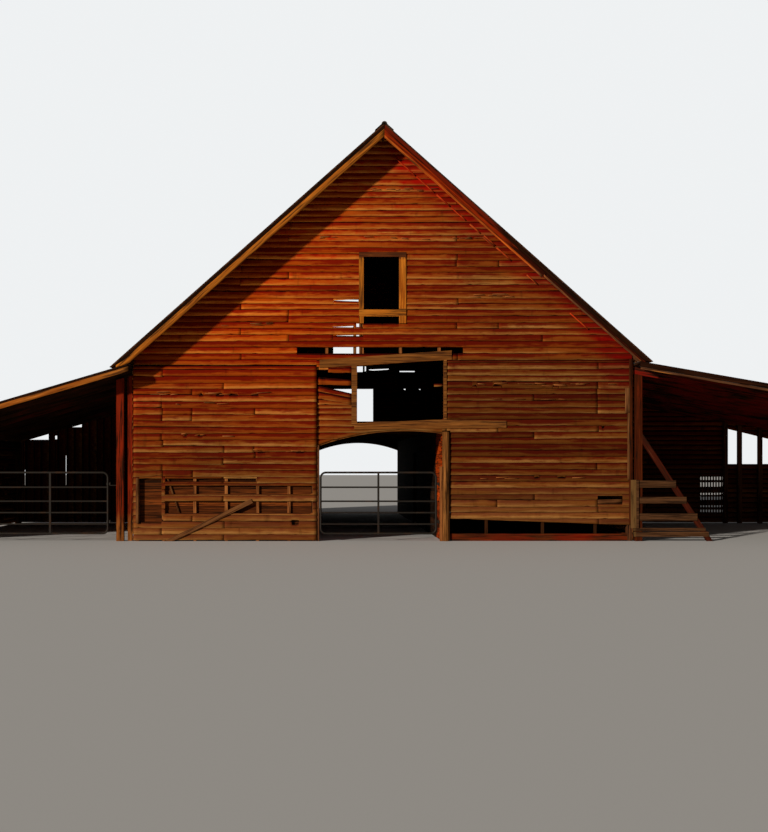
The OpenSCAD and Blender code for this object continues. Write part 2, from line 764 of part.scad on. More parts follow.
// Boarding along the outer sides of the sheds
module shed_sides() color("firebrick") placed() {
    tops = [under_shed(sheds[0], sheds[0][2] + siding_t) - gap, fence_h];
    for (i = [0, 1]) on_side(sheds[i][0])
        block([sheds[i][2], sheds[i][2] + siding_t], [-half_l, shed_back], [0, tops[i]]);
}

// Boarding that closes a shed at the back
module shed_end(shed) {
    l = face_x + ledger_t + gap;
    r = shed[2];
    beam_l = r - post_side / 2 - beam_w / 2 - gap;
    upright([[l, 0], [r, 0], [r, beam_top(shed) - beam_d - gap], [beam_l, beam_top(shed) - beam_d - gap],
        [beam_l, under_shed(shed, beam_l) + shed[3] - gap], [l, under_shed(shed, l) + shed[3] - gap]],
        shed_back, shed_back + siding_t);
}
module left_shed_end() color("firebrick") placed() {
    y = [shed_back - 1, shed_back + siding_t + 1];
    r = sheds[0][2];
    on_side(-1) difference() {
        shed_end(sheds[0]);
        // daylight over the stepped tops of the boards
        block([r - 880, r - 180], y, [2260, wall_h]);
        block([r - 1777, r - 1357], y, [2600, wall_h]);
        block([r - 1105, r - 1048], y, [2272, 2367]);
        // and through boards that are gone
        block([r - 1368, r - 1333], y, [1030, 1828]);
        block([r - 258, r - 223], y, [1025, 1443]);
    }
}
module right_shed_end() color("firebrick") placed() {
    y = [shed_back - 1, shed_back + siding_t + 1];
    l = end_posts[0] + end_post_w / 2;
    r = right_face - post_side;
    difference() {
        shed_end(sheds[1]);
        for (z = slat_gaps) block([slat_l, slat_l + slat_w], y, z);
        // the open band over the low boards
        upright([[l, 1600], [r, 1600], [r, under_shed(sheds[1], r) - 250],
            [l, under_shed(sheds[1], l) - 130]], y[0], y[1]);
    }
}

// Raking shore on the right corner post, with boards nailed across it
module raking_brace() color("sienna") placed() {
    x1 = right_post_l + right_post_w;
    front = -half_l - post_side / 2;
    high = 2240;
    foot = x1 + 1466;
    w = 210;
    upright([[x1, high], [x1, high - w], [foot - 0.64 * w, 0], [foot, 0]], front, front + rake_t);
    for (b = [[1112, 146], [783, 135], [430, 150], [215, 60], [95, 100]]) {
        reach = foot - (b[0] + b[1] / 2) * (foot - x1) / high;
        block([right_post_l - 50, reach], [front - plank_t, front], [b[0], b[0] + b[1]]);
    }
    block([right_post_l - 98, right_post_l + 66], [front - 2 * plank_t, front - plank_t], [270, 1270]);
}

// Hinge bolts: a rod out of the post, turned up into a pin
module hinge_bolt(x, y, reach) {
    for (z = hinge_z) {
        rod_z = z - eye_h / 2 - 1 - pin_r;
        translate([x, y, rod_z]) {
            rotate([0, 90, 0]) cylinder(r = pin_r, h = reach);
            sphere(r = pin_r);
            cylinder(r = pin_r, h = pin_r + 1 + eye_h + 12);
        }
    }
}
module hinge_bolts() color("gray") placed() {
    hinge_bolt(aisle_pin[0], aisle_pin[1], board_t + pin_stand + log_r - 10);
    hinge_bolt(shed_pin[0], shed_pin[1], shed_pin_stand + left_post_w / 2 - 10);
}

// A tube gate in the XZ plane, hung at its right end: x from -length to 0 is the frame
module bend(x, z, turn) {
    translate([x, 0, z]) rotate([90, 0, 0]) rotate([0, 0, turn])
        rotate_extrude(angle = 90) translate([bend_r, 0]) circle(r = tube_r);
}
module gate(length) {
    stiles = round(length / gate_bay) - 1;
    top = rail_z[len(rail_z) - 1];
    l = -length + tube_r;
    r = -tube_r;
    for (z = [0, top]) translate([l + bend_r, 0, z]) rotate([0, 90, 0])
        cylinder(r = tube_r, h = r - l - 2 * bend_r);
    for (x = [l, r]) translate([x, 0, bend_r]) cylinder(r = tube_r, h = top - 2 * bend_r);
    bend(r - bend_r, top - bend_r, 0);
    bend(l + bend_r, top - bend_r, 90);
    bend(l + bend_r, bend_r, 180);
    bend(r - bend_r, bend_r, 270);
    for (i = [1 : len(rail_z) - 2]) translate([l, 0, rail_z[i]]) rotate([0, 90, 0])
        cylinder(r = rail_r, h = r - l);
    for (i = [1 : stiles]) translate([-length + i * length / (stiles + 1) - 20, -tube_r - 2, 0])
        cube([40, 2 * tube_r + 4, top]);
    for (z = hinge_z) translate([0, 0, z - gate_clear]) difference() {
        union() {
            translate([pin_offset, 0, -eye_h / 2]) cylinder(r = eye_r, h = eye_h);
            translate([-tube_r - 30, -4, -eye_h / 2]) cube([eye_reach + 30, 8, eye_h]);
        }
        translate([pin_offset, 0, -eye_h]) cylinder(r = pin_r + pin_clear, h = 2 * eye_h);
    }
}
module aisle_gate() color("dimgray") placed() {
    translate([aisle_pin[0] - pin_offset, aisle_pin[1], gate_clear]) gate(aisle_gate_l);
}
module shed_gate() color("dimgray") placed() {
    translate([shed_pin[0] - pin_offset, shed_pin[1], gate_clear]) gate(shed_gate_l);
}

ground_sills();
wall_posts();
door_posts();
log_post();
hinge_board();
wall_plates();
end_girts();
front_furring();
gable_studs();
inner_boards();
front_wall_left();
front_wall_right();
front_over_door();
front_gable();
back_wall();
back_gable();
side_walls();
arch_boards();
window_frame();
loft_frame();
diagonal_plank();
stall_posts();
aisle_walls();
loft_joists();
loft_floor();
main_rafters();
ridge_board();
roof_boards();
roof_sheets();
ridge_cap();
rake_boards();
corner_posts();
shed_posts();
shed_beams();
shed_rafters();
shed_purlins();
shed_sheets();
shed_fascias();
shed_sides();
left_shed_end();
right_shed_end();
raking_brace();
hinge_bolts();
aisle_gate();
shed_gate();
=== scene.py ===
import math
import random

import bmesh
import bpy
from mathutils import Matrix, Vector


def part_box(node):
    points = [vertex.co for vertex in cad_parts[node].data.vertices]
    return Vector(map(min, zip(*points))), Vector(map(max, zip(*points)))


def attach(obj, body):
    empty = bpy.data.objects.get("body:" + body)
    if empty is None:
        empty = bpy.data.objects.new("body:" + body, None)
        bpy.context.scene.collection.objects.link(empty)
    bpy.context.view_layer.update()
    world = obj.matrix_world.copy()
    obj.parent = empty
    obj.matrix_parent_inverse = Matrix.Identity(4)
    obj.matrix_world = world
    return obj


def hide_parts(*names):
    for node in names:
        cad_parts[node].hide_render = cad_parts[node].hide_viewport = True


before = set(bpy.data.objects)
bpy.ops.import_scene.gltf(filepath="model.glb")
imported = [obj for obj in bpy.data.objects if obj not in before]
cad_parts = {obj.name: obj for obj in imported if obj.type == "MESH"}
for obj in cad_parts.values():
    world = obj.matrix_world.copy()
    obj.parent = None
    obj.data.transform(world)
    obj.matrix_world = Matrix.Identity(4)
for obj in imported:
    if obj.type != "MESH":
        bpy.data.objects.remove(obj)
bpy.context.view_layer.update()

print("frame loaded:", len(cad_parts), "nodes")

# Places read off the frame. The barn's own middle is left of the frame's, because the sheds differ.
gableLow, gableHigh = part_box("front_gable")
skinLow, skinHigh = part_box("front_wall_left")
sideLow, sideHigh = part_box("side_walls")
mid = (gableLow.x + gableHigh.x) / 2
halfWide = (gableHigh.x - gableLow.x) / 2
faceX = (sideHigh.x - sideLow.x) / 2
frontY, skinY, backY = gableLow.y, skinLow.y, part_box("back_gable")[1].y
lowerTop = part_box("front_wall_right")[1].z
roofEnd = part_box("roof_sheets")[1].y
roofSlope, leftSlope, rightSlope = 41.6, 16.4, 9.8   # degrees, of the barn's roof and of the sheds'
pitch = math.radians(roofSlope)
eaveZ = 3.9                                          # where the roof's underside meets the wall's face
ridgeZ = eaveZ + halfWide * math.tan(pitch)
up, frontward = Vector((0, 0, 1)), Vector((0, -1, 0))


# A node's output. Sums written on it add Math nodes.
class Sock:
    def __init__(self, web, socket):
        self.web = web
        self.socket = socket

    def calc(self, operation, *others):
        values = dict(enumerate((self,) + others))
        return self.web.add("ShaderNodeMath", {"operation": operation}, values)

    def __add__(self, other):
        return self.calc("ADD", other)

    def __radd__(self, other):
        return self.calc("ADD", other)

    def __sub__(self, other):
        return self.calc("SUBTRACT", other)

    def __rsub__(self, other):
        return self.web.add("ShaderNodeMath", {"operation": "SUBTRACT"}, {0: other, 1: self})

    def __mul__(self, other):
        return self.calc("MULTIPLY", other)

    def __truediv__(self, other):
        return self.calc("DIVIDE", other)

    def clamp(self):
        return self.web.add("ShaderNodeClamp", {}, {0: self})

    # 0 below the first value, 1 above the second, smooth between
    def between(self, low, high):
        settings = {"interpolation_type": "SMOOTHSTEP"}
        return self.web.add("ShaderNodeMapRange", settings, {0: self, 1: low, 2: high, 3: 0.0, 4: 1.0})


# A node tree: a material's, the world's or that of the board stock
class Web:
    def __init__(self, tree):
        self.tree = tree

    # A node by its type, its settings, and the values or links of its sockets
    def node(self, kind, settings, values):
        made = self.tree.nodes.new(kind)
        for key, value in settings.items():
            setattr(made, key, value)
        for key, value in values.items():
            if isinstance(value, Sock):
                self.tree.links.new(value.socket, made.inputs[key])
            elif isinstance(value, (tuple, Vector)) and len(made.inputs[key].default_value) == 4:
                made.inputs[key].default_value = (*value[:3], 1)
            else:
                made.inputs[key].default_value = value
        return made

    def add(self, kind, settings, values, output=0):
        return Sock(self, self.node(kind, settings, values).outputs[output])

    def vector(self, operation, *values, output=0):
        return self.add("ShaderNodeVectorMath", {"operation": operation}, dict(enumerate(values)), output)

    def scaled(self, vector, amount):
        return self.add("ShaderNodeVectorMath", {"operation": "SCALE"}, {0: vector, "Scale": amount})

    def mix(self, factor, first, second):
        return self.add("ShaderNodeMix", {"data_type": "RGBA"}, {0: factor, 6: first, 7: second}, 2)

    def noise(self, vector, scale=1.0, detail=4.0, rough=0.6, w=0.0):
        values = {"Vector": vector, "W": w, "Scale": scale, "Detail": detail, "Roughness": rough}
        return self.add("ShaderNodeTexNoise", {"noise_dimensions": "4D"}, values, "Fac")


# A colour as it reads on a screen, 0 to 255, made linear
def colour(tint):
    shares = [value / 255 for value in tint]
    return tuple(s / 12.92 if s <= 0.04045 else ((s + 0.055) / 1.055) ** 2.4 for s in shares)


def newMaterial(name):
    material = bpy.data.materials.new(name)
    material.use_nodes = True
    material.node_tree.nodes.clear()
    return material, Web(material.node_tree)


def finishMaterial(web, look, baseColour, roughness, height=None, metallic=0.0):
    values = {"Base Color": baseColour, "Roughness": roughness, "Metallic": metallic,
        "Specular IOR Level": look["gloss"]}
    if height is not None:
        relief = {"Strength": look["bump"], "Distance": look["depth"], "Height": height}
        values["Normal"] = web.add("ShaderNodeBump", {}, relief)
    shader = web.add("ShaderNodeBsdfPrincipled", {}, values)
    web.node("ShaderNodeOutputMaterial", {}, {"Surface": shader})


# Gives a material to the nodes that it is for
def giveTo(nodes, material):
    for node in nodes:
        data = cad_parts[node].data
        data.materials.clear()
        data.materials.append(material)
    return material


def objectPlace(web):
    return web.add("ShaderNodeTexCoord", {}, {}, "Object")


def splitPlace(web, place):
    parts = web.node("ShaderNodeSeparateXYZ", {}, {0: place})
    return [Sock(web, parts.outputs[i]) for i in range(3)]


def joinPlace(web, x, y, z):
    return web.add("ShaderNodeCombineXYZ", {}, {0: x, 1: y, 2: z})


def attribute(web, name):
    return web.add("ShaderNodeAttribute", {"attribute_name": name}, {}, "Fac")


# A number of its own for each plank or sheet, by its place in the row
def ownNumber(web, row):
    return web.add("ShaderNodeTexWhiteNoise", {"noise_dimensions": "1D"}, {"W": row.calc("FLOOR")}, "Value")


def darker(tint, share):
    return tuple(c * share for c in tint)


# Red siding: flaking stain over bare wood, pale along the lower edges from wear and from a painted
# highlight, and dark red under each lap from old stain and from painted shade. In each pair the first colour
# is high on the left, and the second to the right and low down.
sidingLook = {
    "face": ((162, 64, 6), (98, 52, 14)),
    # worn: bare wood from wear, and a painted highlight along each board's lower edge
    "worn": ((206, 116, 36), (138, 94, 46)),
    # seam: old red stain, and painted shade under each lap
    "seam": ((112, 7, 0), (72, 8, 2)),
    "red": ((176, 12, 0), (82, 7, 2)),
    # The near-black last colour is dirt in the drips, and painted shade in splits of the grain and right
    # under each lap
    "bleached": (146, 98, 52), "grimeAndShade": (10, 3, 1),
    "bump": 0.6, "depth": 0.009, "gloss": 0.03,
    "freshRed": ((mid - 5.2, skinY, 3.55), (mid + 5.2, frontY, 3.85)),   # top corners of skin and wall
}


def makeSiding(name, nodes, run, front):
    material, web = newMaterial(name)
    place = objectPlace(web)
    x, y, z = splitPlace(web, place)
    along = x if run == "x" else y
    tone, edge = attribute(web, "tone"), attribute(web, "edge")
    seed = tone * 41.0

    # Noise drawn out along the boards, different on each
    def drawn(lengthwise, own, upright, detail, rough, w):
        return web.noise(joinPlace(web, along * lengthwise, tone * own, z * upright), 1.0, detail, rough, w)

    grain = drawn(1.8, 7.0, 60.0, 5.0, 0.65, seed)
    streak = drawn(0.9, 5.0, 13.0, 4.0, 0.6, seed)
    blotch = drawn(3.5, 9.0, 9.0, 4.0, 0.65, seed + 3.0)
    patch = web.noise(place, 0.55, 3.0, 0.55, 3.0)
    brownness = (1.0 - z.between(0.8, 4.2)) * 0.78 + (patch - 0.5) * 0.7 + (tone - 0.5) * 0.35
    if front:
        wallRight = (x - mid).between(1.2, 1.5) * (1.0 - z.between(3.6, 3.9))
        skin = (1.0 - z.between(3.4, 4.0)) * 0.16
        brownness = brownness + (x - mid).between(-2.5, 2.6) * 0.74 + wallRight * 0.4 + skin
    else:
        brownness = brownness + 0.3
    brownness = brownness.clamp()
    lines = drawn(0.7, 3.0, 150.0, 3.0, 0.7, seed + 7.0)

    def aged(key):
        return web.mix(brownness, *(colour(tint) for tint in sidingLook[key]))

    shade = aged("face")
    redness = (blotch - 0.54) * 3.6 + (tone - 0.8) * 1.4
    if front:
        redness = redness + z.between(4.2, 8.0) * 0.42
        # fresher red along the right rake, in the right corner and at the top left of the lower skin
        rake = ((ridgeZ - z) - (x - mid) * math.tan(pitch)) * math.cos(pitch)
        band = 1.0 - (rake + (blotch - 0.5) * 1.1).between(0.12, 0.62)
        skinCorner, sideCorner = (web.vector("DISTANCE", place, corner, output="Value")
            for corner in sidingLook["freshRed"])
        redness = redness + band * (x - mid).between(0.0, 0.3) * 1.1
        redness = redness + (1.0 - (skinCorner + (blotch - 0.5) * 1.6).between(0.4, 1.3)) * 0.6
        redness = redness + (1.0 - (sideCorner + (blotch - 0.5) * 1.6).between(0.5, 1.5)) * 0.9
    shade = web.mix(redness.clamp(), shade, aged("red"))
    # Pale lower edge of each board: bare wood worn there, and a painted highlight where the edge catches the
    # light
    worn = 0.58 - edge * 1.7 + (streak - 0.5) * 2.8 + (grain - 0.5) * 1.5 + (tone - 0.5) * 0.9
    worn = worn.between(0.15, 0.95)
    shade = web.mix(worn * (1.0 - redness.clamp() * 0.6), shade, aged("worn"))
    # Dark red at the top of each board: old stain, and painted shade under the next board's lap
    seam = edge + (streak - 0.5) * 1.6 + (blotch - 0.5) * 0.8 + (lines + grain - 1.0) * 0.9
    seam = (seam - (tone - 0.5) * 0.3).between(0.24, 0.58)
    shade = web.mix(seam * 0.92, shade, aged("seam"))
    shade = web.mix((lines - 0.5).calc("MAXIMUM", 0.0) * 1.6, shade, aged("seam"))
    drips = drawn(7.0, 6.0, 0.8, 3.0, 0.6, 5.0).between(0.58, 0.74)
    foot = 1.0 - z.between(0.6, 1.6)
    shade = web.mix((streak + grain - 0.7) * foot * 0.6, shade, colour(sidingLook["bleached"]))
    # Near-black in splits of the grain and in a band right under each lap is painted shade; the drips mixed
    # in are dirt
    crackAndLapShade = (1.0 - grain).between(0.56, 0.7) * 0.55 + (edge + (blotch - 0.5) * 0.3).between(0.7, 0.8) * 0.8
    shade = web.mix((crackAndLapShade + drips * 0.3).clamp(), shade, colour(sidingLook["grimeAndShade"]))
    value = 0.72 + tone * 0.5
    if front:
        value = value - wallRight * (z.between(2.2, 3.0) * 0.05 + 0.09) + z.between(4.8, 6.6) * 0.12
    bright = web.add("ShaderNodeHueSaturation", {}, {"Value": value, "Color": shade})
    relief = grain * 0.6 + streak * 0.9 + blotch * 0.5
    finishMaterial(web, sidingLook, bright, 0.78 + grain * 0.2, relief)
    return giveTo(nodes, material)


timberLook = {
    "along": (1.3, 0.9), "across": (34.0, 5.0),      # scales of the grain and of the wear
    "bump": 0.45, "depth": 0.006, "gloss": 0.03,
}


# Sawn timber with its grain along one axis, and planks where the piece is a slab. Each coat is a colour with
# a function of the place that says where it lies. Below the height dim the timber is painted dark: painted
# shade.
# turned lists angles of boards that lie aslant, seen from the front, each with a function that says where
# they are.
def makeTimber(name, nodes, axis, main, second, dark, plank=None, plankAxis=2, paintedShadeBelow=0, turned=(), coats=()):
    material, web = newMaterial(name)
    main, second, dark = colour(main), colour(second), colour(dark)
    parts = splitPlace(web, objectPlace(web))
    laid = parts
    for degrees, where in turned:
        mask, angle = where(parts), math.radians(degrees)
        x = parts[0] * math.cos(angle) + parts[2] * math.sin(angle)
        z = parts[2] * math.cos(angle) - parts[0] * math.sin(angle)
        laid = [laid[0] + (x - laid[0]) * mask, parts[1], laid[2] + (z - laid[2]) * mask]
    scales = [timberLook["along" if letter == axis else "across"] for letter in "xyz"]
    fine, broad = (joinPlace(web, *(part * scale[i] for part, scale in zip(laid, scales))) for i in (0, 1))
    grain, wear = web.noise(fine, 1.0, 5.0, 0.66), web.noise(broad, 1.0, 4.0, 0.6, 2.0)
    shade = web.mix((wear * 3.4 - 1.2).clamp(), main, second)
    for tint, where in coats:
        shade = web.mix((wear + (grain - 0.5) * 0.5 + where(parts)).between(0.4, 0.66), shade, colour(tint))
    pale = tuple(min(1.0, c * 1.7) for c in main)
    shade = web.mix((grain + wear * 0.5).between(0.8, 0.98) * 0.7, shade, pale)
    shade = web.mix((1.0 - grain + (0.5 - wear) * 0.5).between(0.46, 0.62) * 0.9, shade, dark)
    height = grain * 0.7 + wear * 0.4
    if plank:
        row = parts[plankAxis] / plank
        seam = away(row.calc("FRACT"), 0.5).between(0.455, 0.485)
        shade = web.mix((ownNumber(web, row) * 0.65).clamp(), shade, dark)
        shade = web.mix(seam * 0.9, shade, darker(dark, 0.25))
        height = height - seam * 2.0
    # Dark below a given height: painted shade, for studs that stand in the shade of holes in the siding
    if paintedShadeBelow:
        shade = web.mix((1.0 - parts[2].between(paintedShadeBelow * 0.6, paintedShadeBelow)) * 0.9, shade, darker(dark, 0.2))
    finishMaterial(web, timberLook, shade, 0.8 + grain * 0.15, height)
    return giveTo(nodes, material)


# Galvanised sheet: dull grey, with rust running down the slope and a tone of its own for each sheet
sheetLook = {"wide": 0.915, "rough": 0.45, "metal": 0.75, "bump": 0.2, "depth": 0.004, "gloss": 0.12}


def makeRoofing(name, nodes, main, pale, rust):
    material, web = newMaterial(name)
    place = objectPlace(web)
    x, y, z = splitPlace(web, place)
    own = ownNumber(web, y / sheetLook["wide"])
    run = web.noise(joinPlace(web, away(x, mid) * 0.45, y * 7.0, 0.0), 1.0, 5.0, 0.6, own * 9.0)
    cloud = web.noise(place, 0.5, 4.0, 0.6)
    speck = web.noise(place, 24.0, 3.0, 0.6)
    shade = web.mix((own * 0.5 + cloud * 0.6).clamp(), colour(main), colour(pale))
    rusting = (run * 0.9 + cloud * 0.7 + (speck - 0.5) * 0.25).between(0.86, 1.06)
    shade = web.mix(rusting * 0.85, shade, colour(rust))
    # A near-black band along the sheets' front edges: painted shade on an edge that the key lights
    rim = (y.calc("ABSOLUTE") - roofEnd).between(-0.014, -0.006)
    shade = web.mix(rim * 0.9, shade, darker(colour(rust), 0.15))
    roughness = sheetLook["rough"] + rusting * 0.4 + (speck - 0.5) * 0.2
    metallic = sheetLook["metal"] - rusting * 0.7
    finishMaterial(web, sheetLook, shade, roughness, speck * 0.3 + run * 0.4, metallic)
    giveTo(nodes, material)


# Dull tube of the gates and the iron of their hinges
steelLook = {"rough": 0.5, "metal": 0.3, "bump": 0.15, "depth": 0.002, "gloss": 0.12}


def makeSteel(name, nodes, main, worn):
    material, web = newMaterial(name)
    place = objectPlace(web)
    patch = web.noise(place, 3.0, 5.0, 0.65)
    speck = web.noise(place, 60.0, 3.0, 0.6)
    wear = (patch + (speck - 0.5) * 0.4).between(0.52, 0.68)
    metallic = steelLook["metal"] - wear * steelLook["metal"] * 0.6
    shade = web.mix(wear, colour(main), colour(worn))
    finishMaterial(web, steelLook, shade, steelLook["rough"] + wear * 0.35, speck, metallic)
    giveTo(nodes, material)


# From 0 to 1 between two distances right of the barn's middle
def rightOf(parts, start, end):
    return (parts[0] - mid).between(start, end)


def away(part, place):
    return (part - place).calc("ABSOLUTE")


# Turned boards of a roof: one angle left of the barn's middle, the other right of it
def slopes(left, right):
    def onRight(parts):
        return rightOf(parts, -0.01, 0.01)
    return [(left, lambda parts: 1.0 - onRight(parts)), (-right, onRight)]


# The brace itself, which stands behind the rails nailed across it
def behindRails(parts):
    return (parts[1] - braceFront).between(-0.002, -0.0005)


# The upright that the rails of the brace end at on the left
def railPost(parts):
    return 1.0 - rightOf(parts, 5.235, 5.245)


print("materials")
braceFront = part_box("raking_brace")[0].y + 0.05
roofAslant, shedsAslant = slopes(roofSlope, roofSlope), slopes(leftSlope, rightSlope)
sidingFront = makeSiding("red_siding_front", ["front_wall_left", "front_wall_right", "front_over_door",
    "front_gable"], "x", True)
sidingBack = makeSiding("red_siding_back", ["back_wall", "back_gable", "left_shed_end",
    "right_shed_end"], "x", False)
sidingSide = makeSiding("red_siding_side", ["side_walls", "shed_sides"], "y", False)

darkWood, tanDark, blackWood = (20, 11, 6), (54, 27, 12), (12, 5, 2)
tanWood, honeyWood = (150, 92, 46), (118, 66, 30)
sawn, dull = ((74, 42, 24), (98, 58, 32), darkWood), ((116, 74, 40), (84, 50, 26), tanDark)
makeTimber("shed_timber", ["shed_beams", "shed_purlins"], "y", (42, 24, 13), (56, 32, 17), darkWood)
makeTimber("sawn_timber_across", ["end_girts", "loft_joists"], "x", *sawn)
makeTimber("sawn_timber_long", ["wall_plates", "ridge_board"], "y", *sawn)
timberZ = makeTimber("sawn_timber_upright", ["wall_posts", "door_posts", "stall_posts",
    "shed_posts"], "z", *sawn)
makeTimber("sawn_timber_slope", ["main_rafters"], "x", *sawn, turned=roofAslant)
# The studs are painted dark low down: painted shade in the holes of the torn siding
makeTimber("studs", ["gable_studs"], "z", tanWood, honeyWood, tanDark, paintedShadeBelow=0.9)
makeTimber("furring", ["hinge_board", "front_furring"], "z", honeyWood, tanWood, tanDark)
# On the right post the red coat is held back, which leaves that post darker: painted shade
redPostWood = makeTimber("red_posts", ["corner_posts"], "z", (74, 30, 8), (52, 16, 4), darkWood, coats=[
    ((118, 30, 8), lambda parts: parts[2] * 0.05 + 0.02 - rightOf(parts, 4.0, 5.0) * 0.34),
    ((134, 78, 32), lambda parts: (1.0 - parts[2].between(0.1, 1.5))
        * (mid - parts[0]).between(4.0, 5.0) * 0.75 - 0.6)])
makeTimber("red_sills", ["ground_sills"], "x", (92, 40, 12), (60, 22, 8), darkWood,
    coats=[((100, 16, 3), lambda parts: -0.02)])
# Sparse red patches on the right shed's rafters stand for their faces lit by a low sun: painted light
makeTimber("rafters_painted_light", ["shed_rafters"], "x", (44, 24, 12), (58, 32, 16), darkWood, turned=shedsAslant,
    coats=[((112, 18, 8), lambda parts: rightOf(parts, 3.0, 5.0) * 0.2 - 0.16)])
rakeStripWood = makeTimber("rake_strip_wood", [], "x", (176, 74, 26), (150, 24, 6), tanDark,
    turned=roofAslant)
makeTimber("rake_wood", ["rake_boards"], "x", (40, 17, 5), (26, 10, 3), blackWood, turned=roofAslant, coats=[
    ((92, 22, 6), lambda parts: rightOf(parts, -0.1, 0.1) * (1.0 - rightOf(parts, 1.4, 3.2)) * 0.9 - 0.55)])
makeTimber("fascia_wood", ["shed_fascias"], "x", (44, 20, 8), (26, 10, 3), blackWood, turned=shedsAslant)
edgeWood = makeTimber("edge_wood", [], "x", (168, 98, 28), (136, 70, 16), tanDark, turned=roofAslant)
shedEdgeWood = makeTimber("shed_edge_wood", [], "x", (164, 98, 36), (132, 66, 16), tanDark,
    turned=shedsAslant, coats=[((84, 54, 34), lambda parts: rightOf(parts, -0.1, 0.1) - 0.5)])
edgeOrange = makeTimber("edge_orange", [], "x", (184, 92, 28), (140, 46, 8), tanDark, turned=roofAslant,
    coats=[((90, 54, 32), lambda parts: rightOf(parts, 1.8, 4.2) * 0.9 - 0.5)])
edgeRed = makeTimber("edge_red", [], "x", (136, 40, 5), (112, 28, 3), (52, 10, 2), turned=roofAslant,
    coats=[((40, 12, 4), lambda parts: rightOf(parts, 1.6, 3.4) - 0.5)])
makeTimber("window_wood", ["window_frame"], "z", (178, 106, 30), (136, 66, 12), tanDark,
    turned=[(90, lambda parts: 1.0
        - away(parts[2], 5.97).calc("MINIMUM", away(parts[2], 4.75)).between(0.07, 0.08))],
    coats=[((86, 42, 18), lambda parts: away(parts[2], 5.95) * -6.0 + 0.5)])
makeTimber("header_wood", ["arch_boards", "loft_frame"], "x", (124, 76, 32), (94, 52, 18), tanDark)
makeTimber("leaning_plank", ["diagonal_plank"], "x", *dull,
    turned=[(27.0, lambda parts: 1.0 - parts[2].between(1.6, 1.7))])
oddWood = makeTimber("odd_boards", [], "z", *dull,
    turned=[(90, lambda parts: 1.0 - away(parts[0] - mid, 4.7).between(0.3, 0.31))])
makeTimber("brace_wood", ["raking_brace"], "x", (84, 54, 32), (60, 36, 18), (30, 17, 9),
    turned=[(90, railPost), (-56.8, behindRails)],
    coats=[((96, 68, 36), lambda parts: railPost(parts) * 1.4 - 0.9),
        ((60, 18, 7), lambda parts: behindRails(parts) * 1.5 - 1.0)])
makeTimber("log_wood", ["log_post"], "z", (138, 88, 42), (78, 42, 14), (20, 9, 3))
sliverWood = makeTimber("slivers", [], "x", (158, 98, 52), (130, 66, 24), tanDark)
makeTimber("inner_planks", ["inner_boards"], "x", (124, 62, 22), (84, 36, 10), darkWood, plank=0.18)
# The aisle's walls are painted dark as painted shade inside the aisle, and bright orange near the door as
# painted sunlight
makeTimber("stall_planks", ["aisle_walls"], "y", (40, 24, 14), (56, 32, 18), (12, 7, 4), plank=0.2, coats=[
    ((196, 70, 8), lambda parts: (0.0 - parts[1]).between(5.6, 6.8)
        * (parts[2].between(0.2, 1.4) * 0.45 + 0.5) - 0.45)])
makeTimber("floor_planks", ["loft_floor"], "x", *sawn, plank=0.16, plankAxis=1)
makeTimber("roof_planks", ["roof_boards"], "y", (60, 36, 22), (82, 48, 28), darkWood, plank=0.17)
makeRoofing("roof_metal", ["roof_sheets", "shed_sheets"], (96, 94, 90), (140, 137, 130), (96, 54, 32))
makeRoofing("ridge_cap_metal", ["ridge_cap"], (156, 148, 135), (176, 168, 156), (128, 88, 56))
makeSteel("gate_tube", ["aisle_gate", "shed_gate"], (36, 31, 26), (56, 36, 22))
makeSteel("hinge_iron", ["hinge_bolts"], (42, 36, 30), (66, 38, 20))


# Board stock: each loose edge of the mesh is the back lower edge of a board. It is drawn up across the
# board, bent a little, chipped along the lower edge, and given its thickness.
stockLook = {"steps": 3, "chipsFrom": 0.56, "thinner": 0.3, "weld": 0.0003}


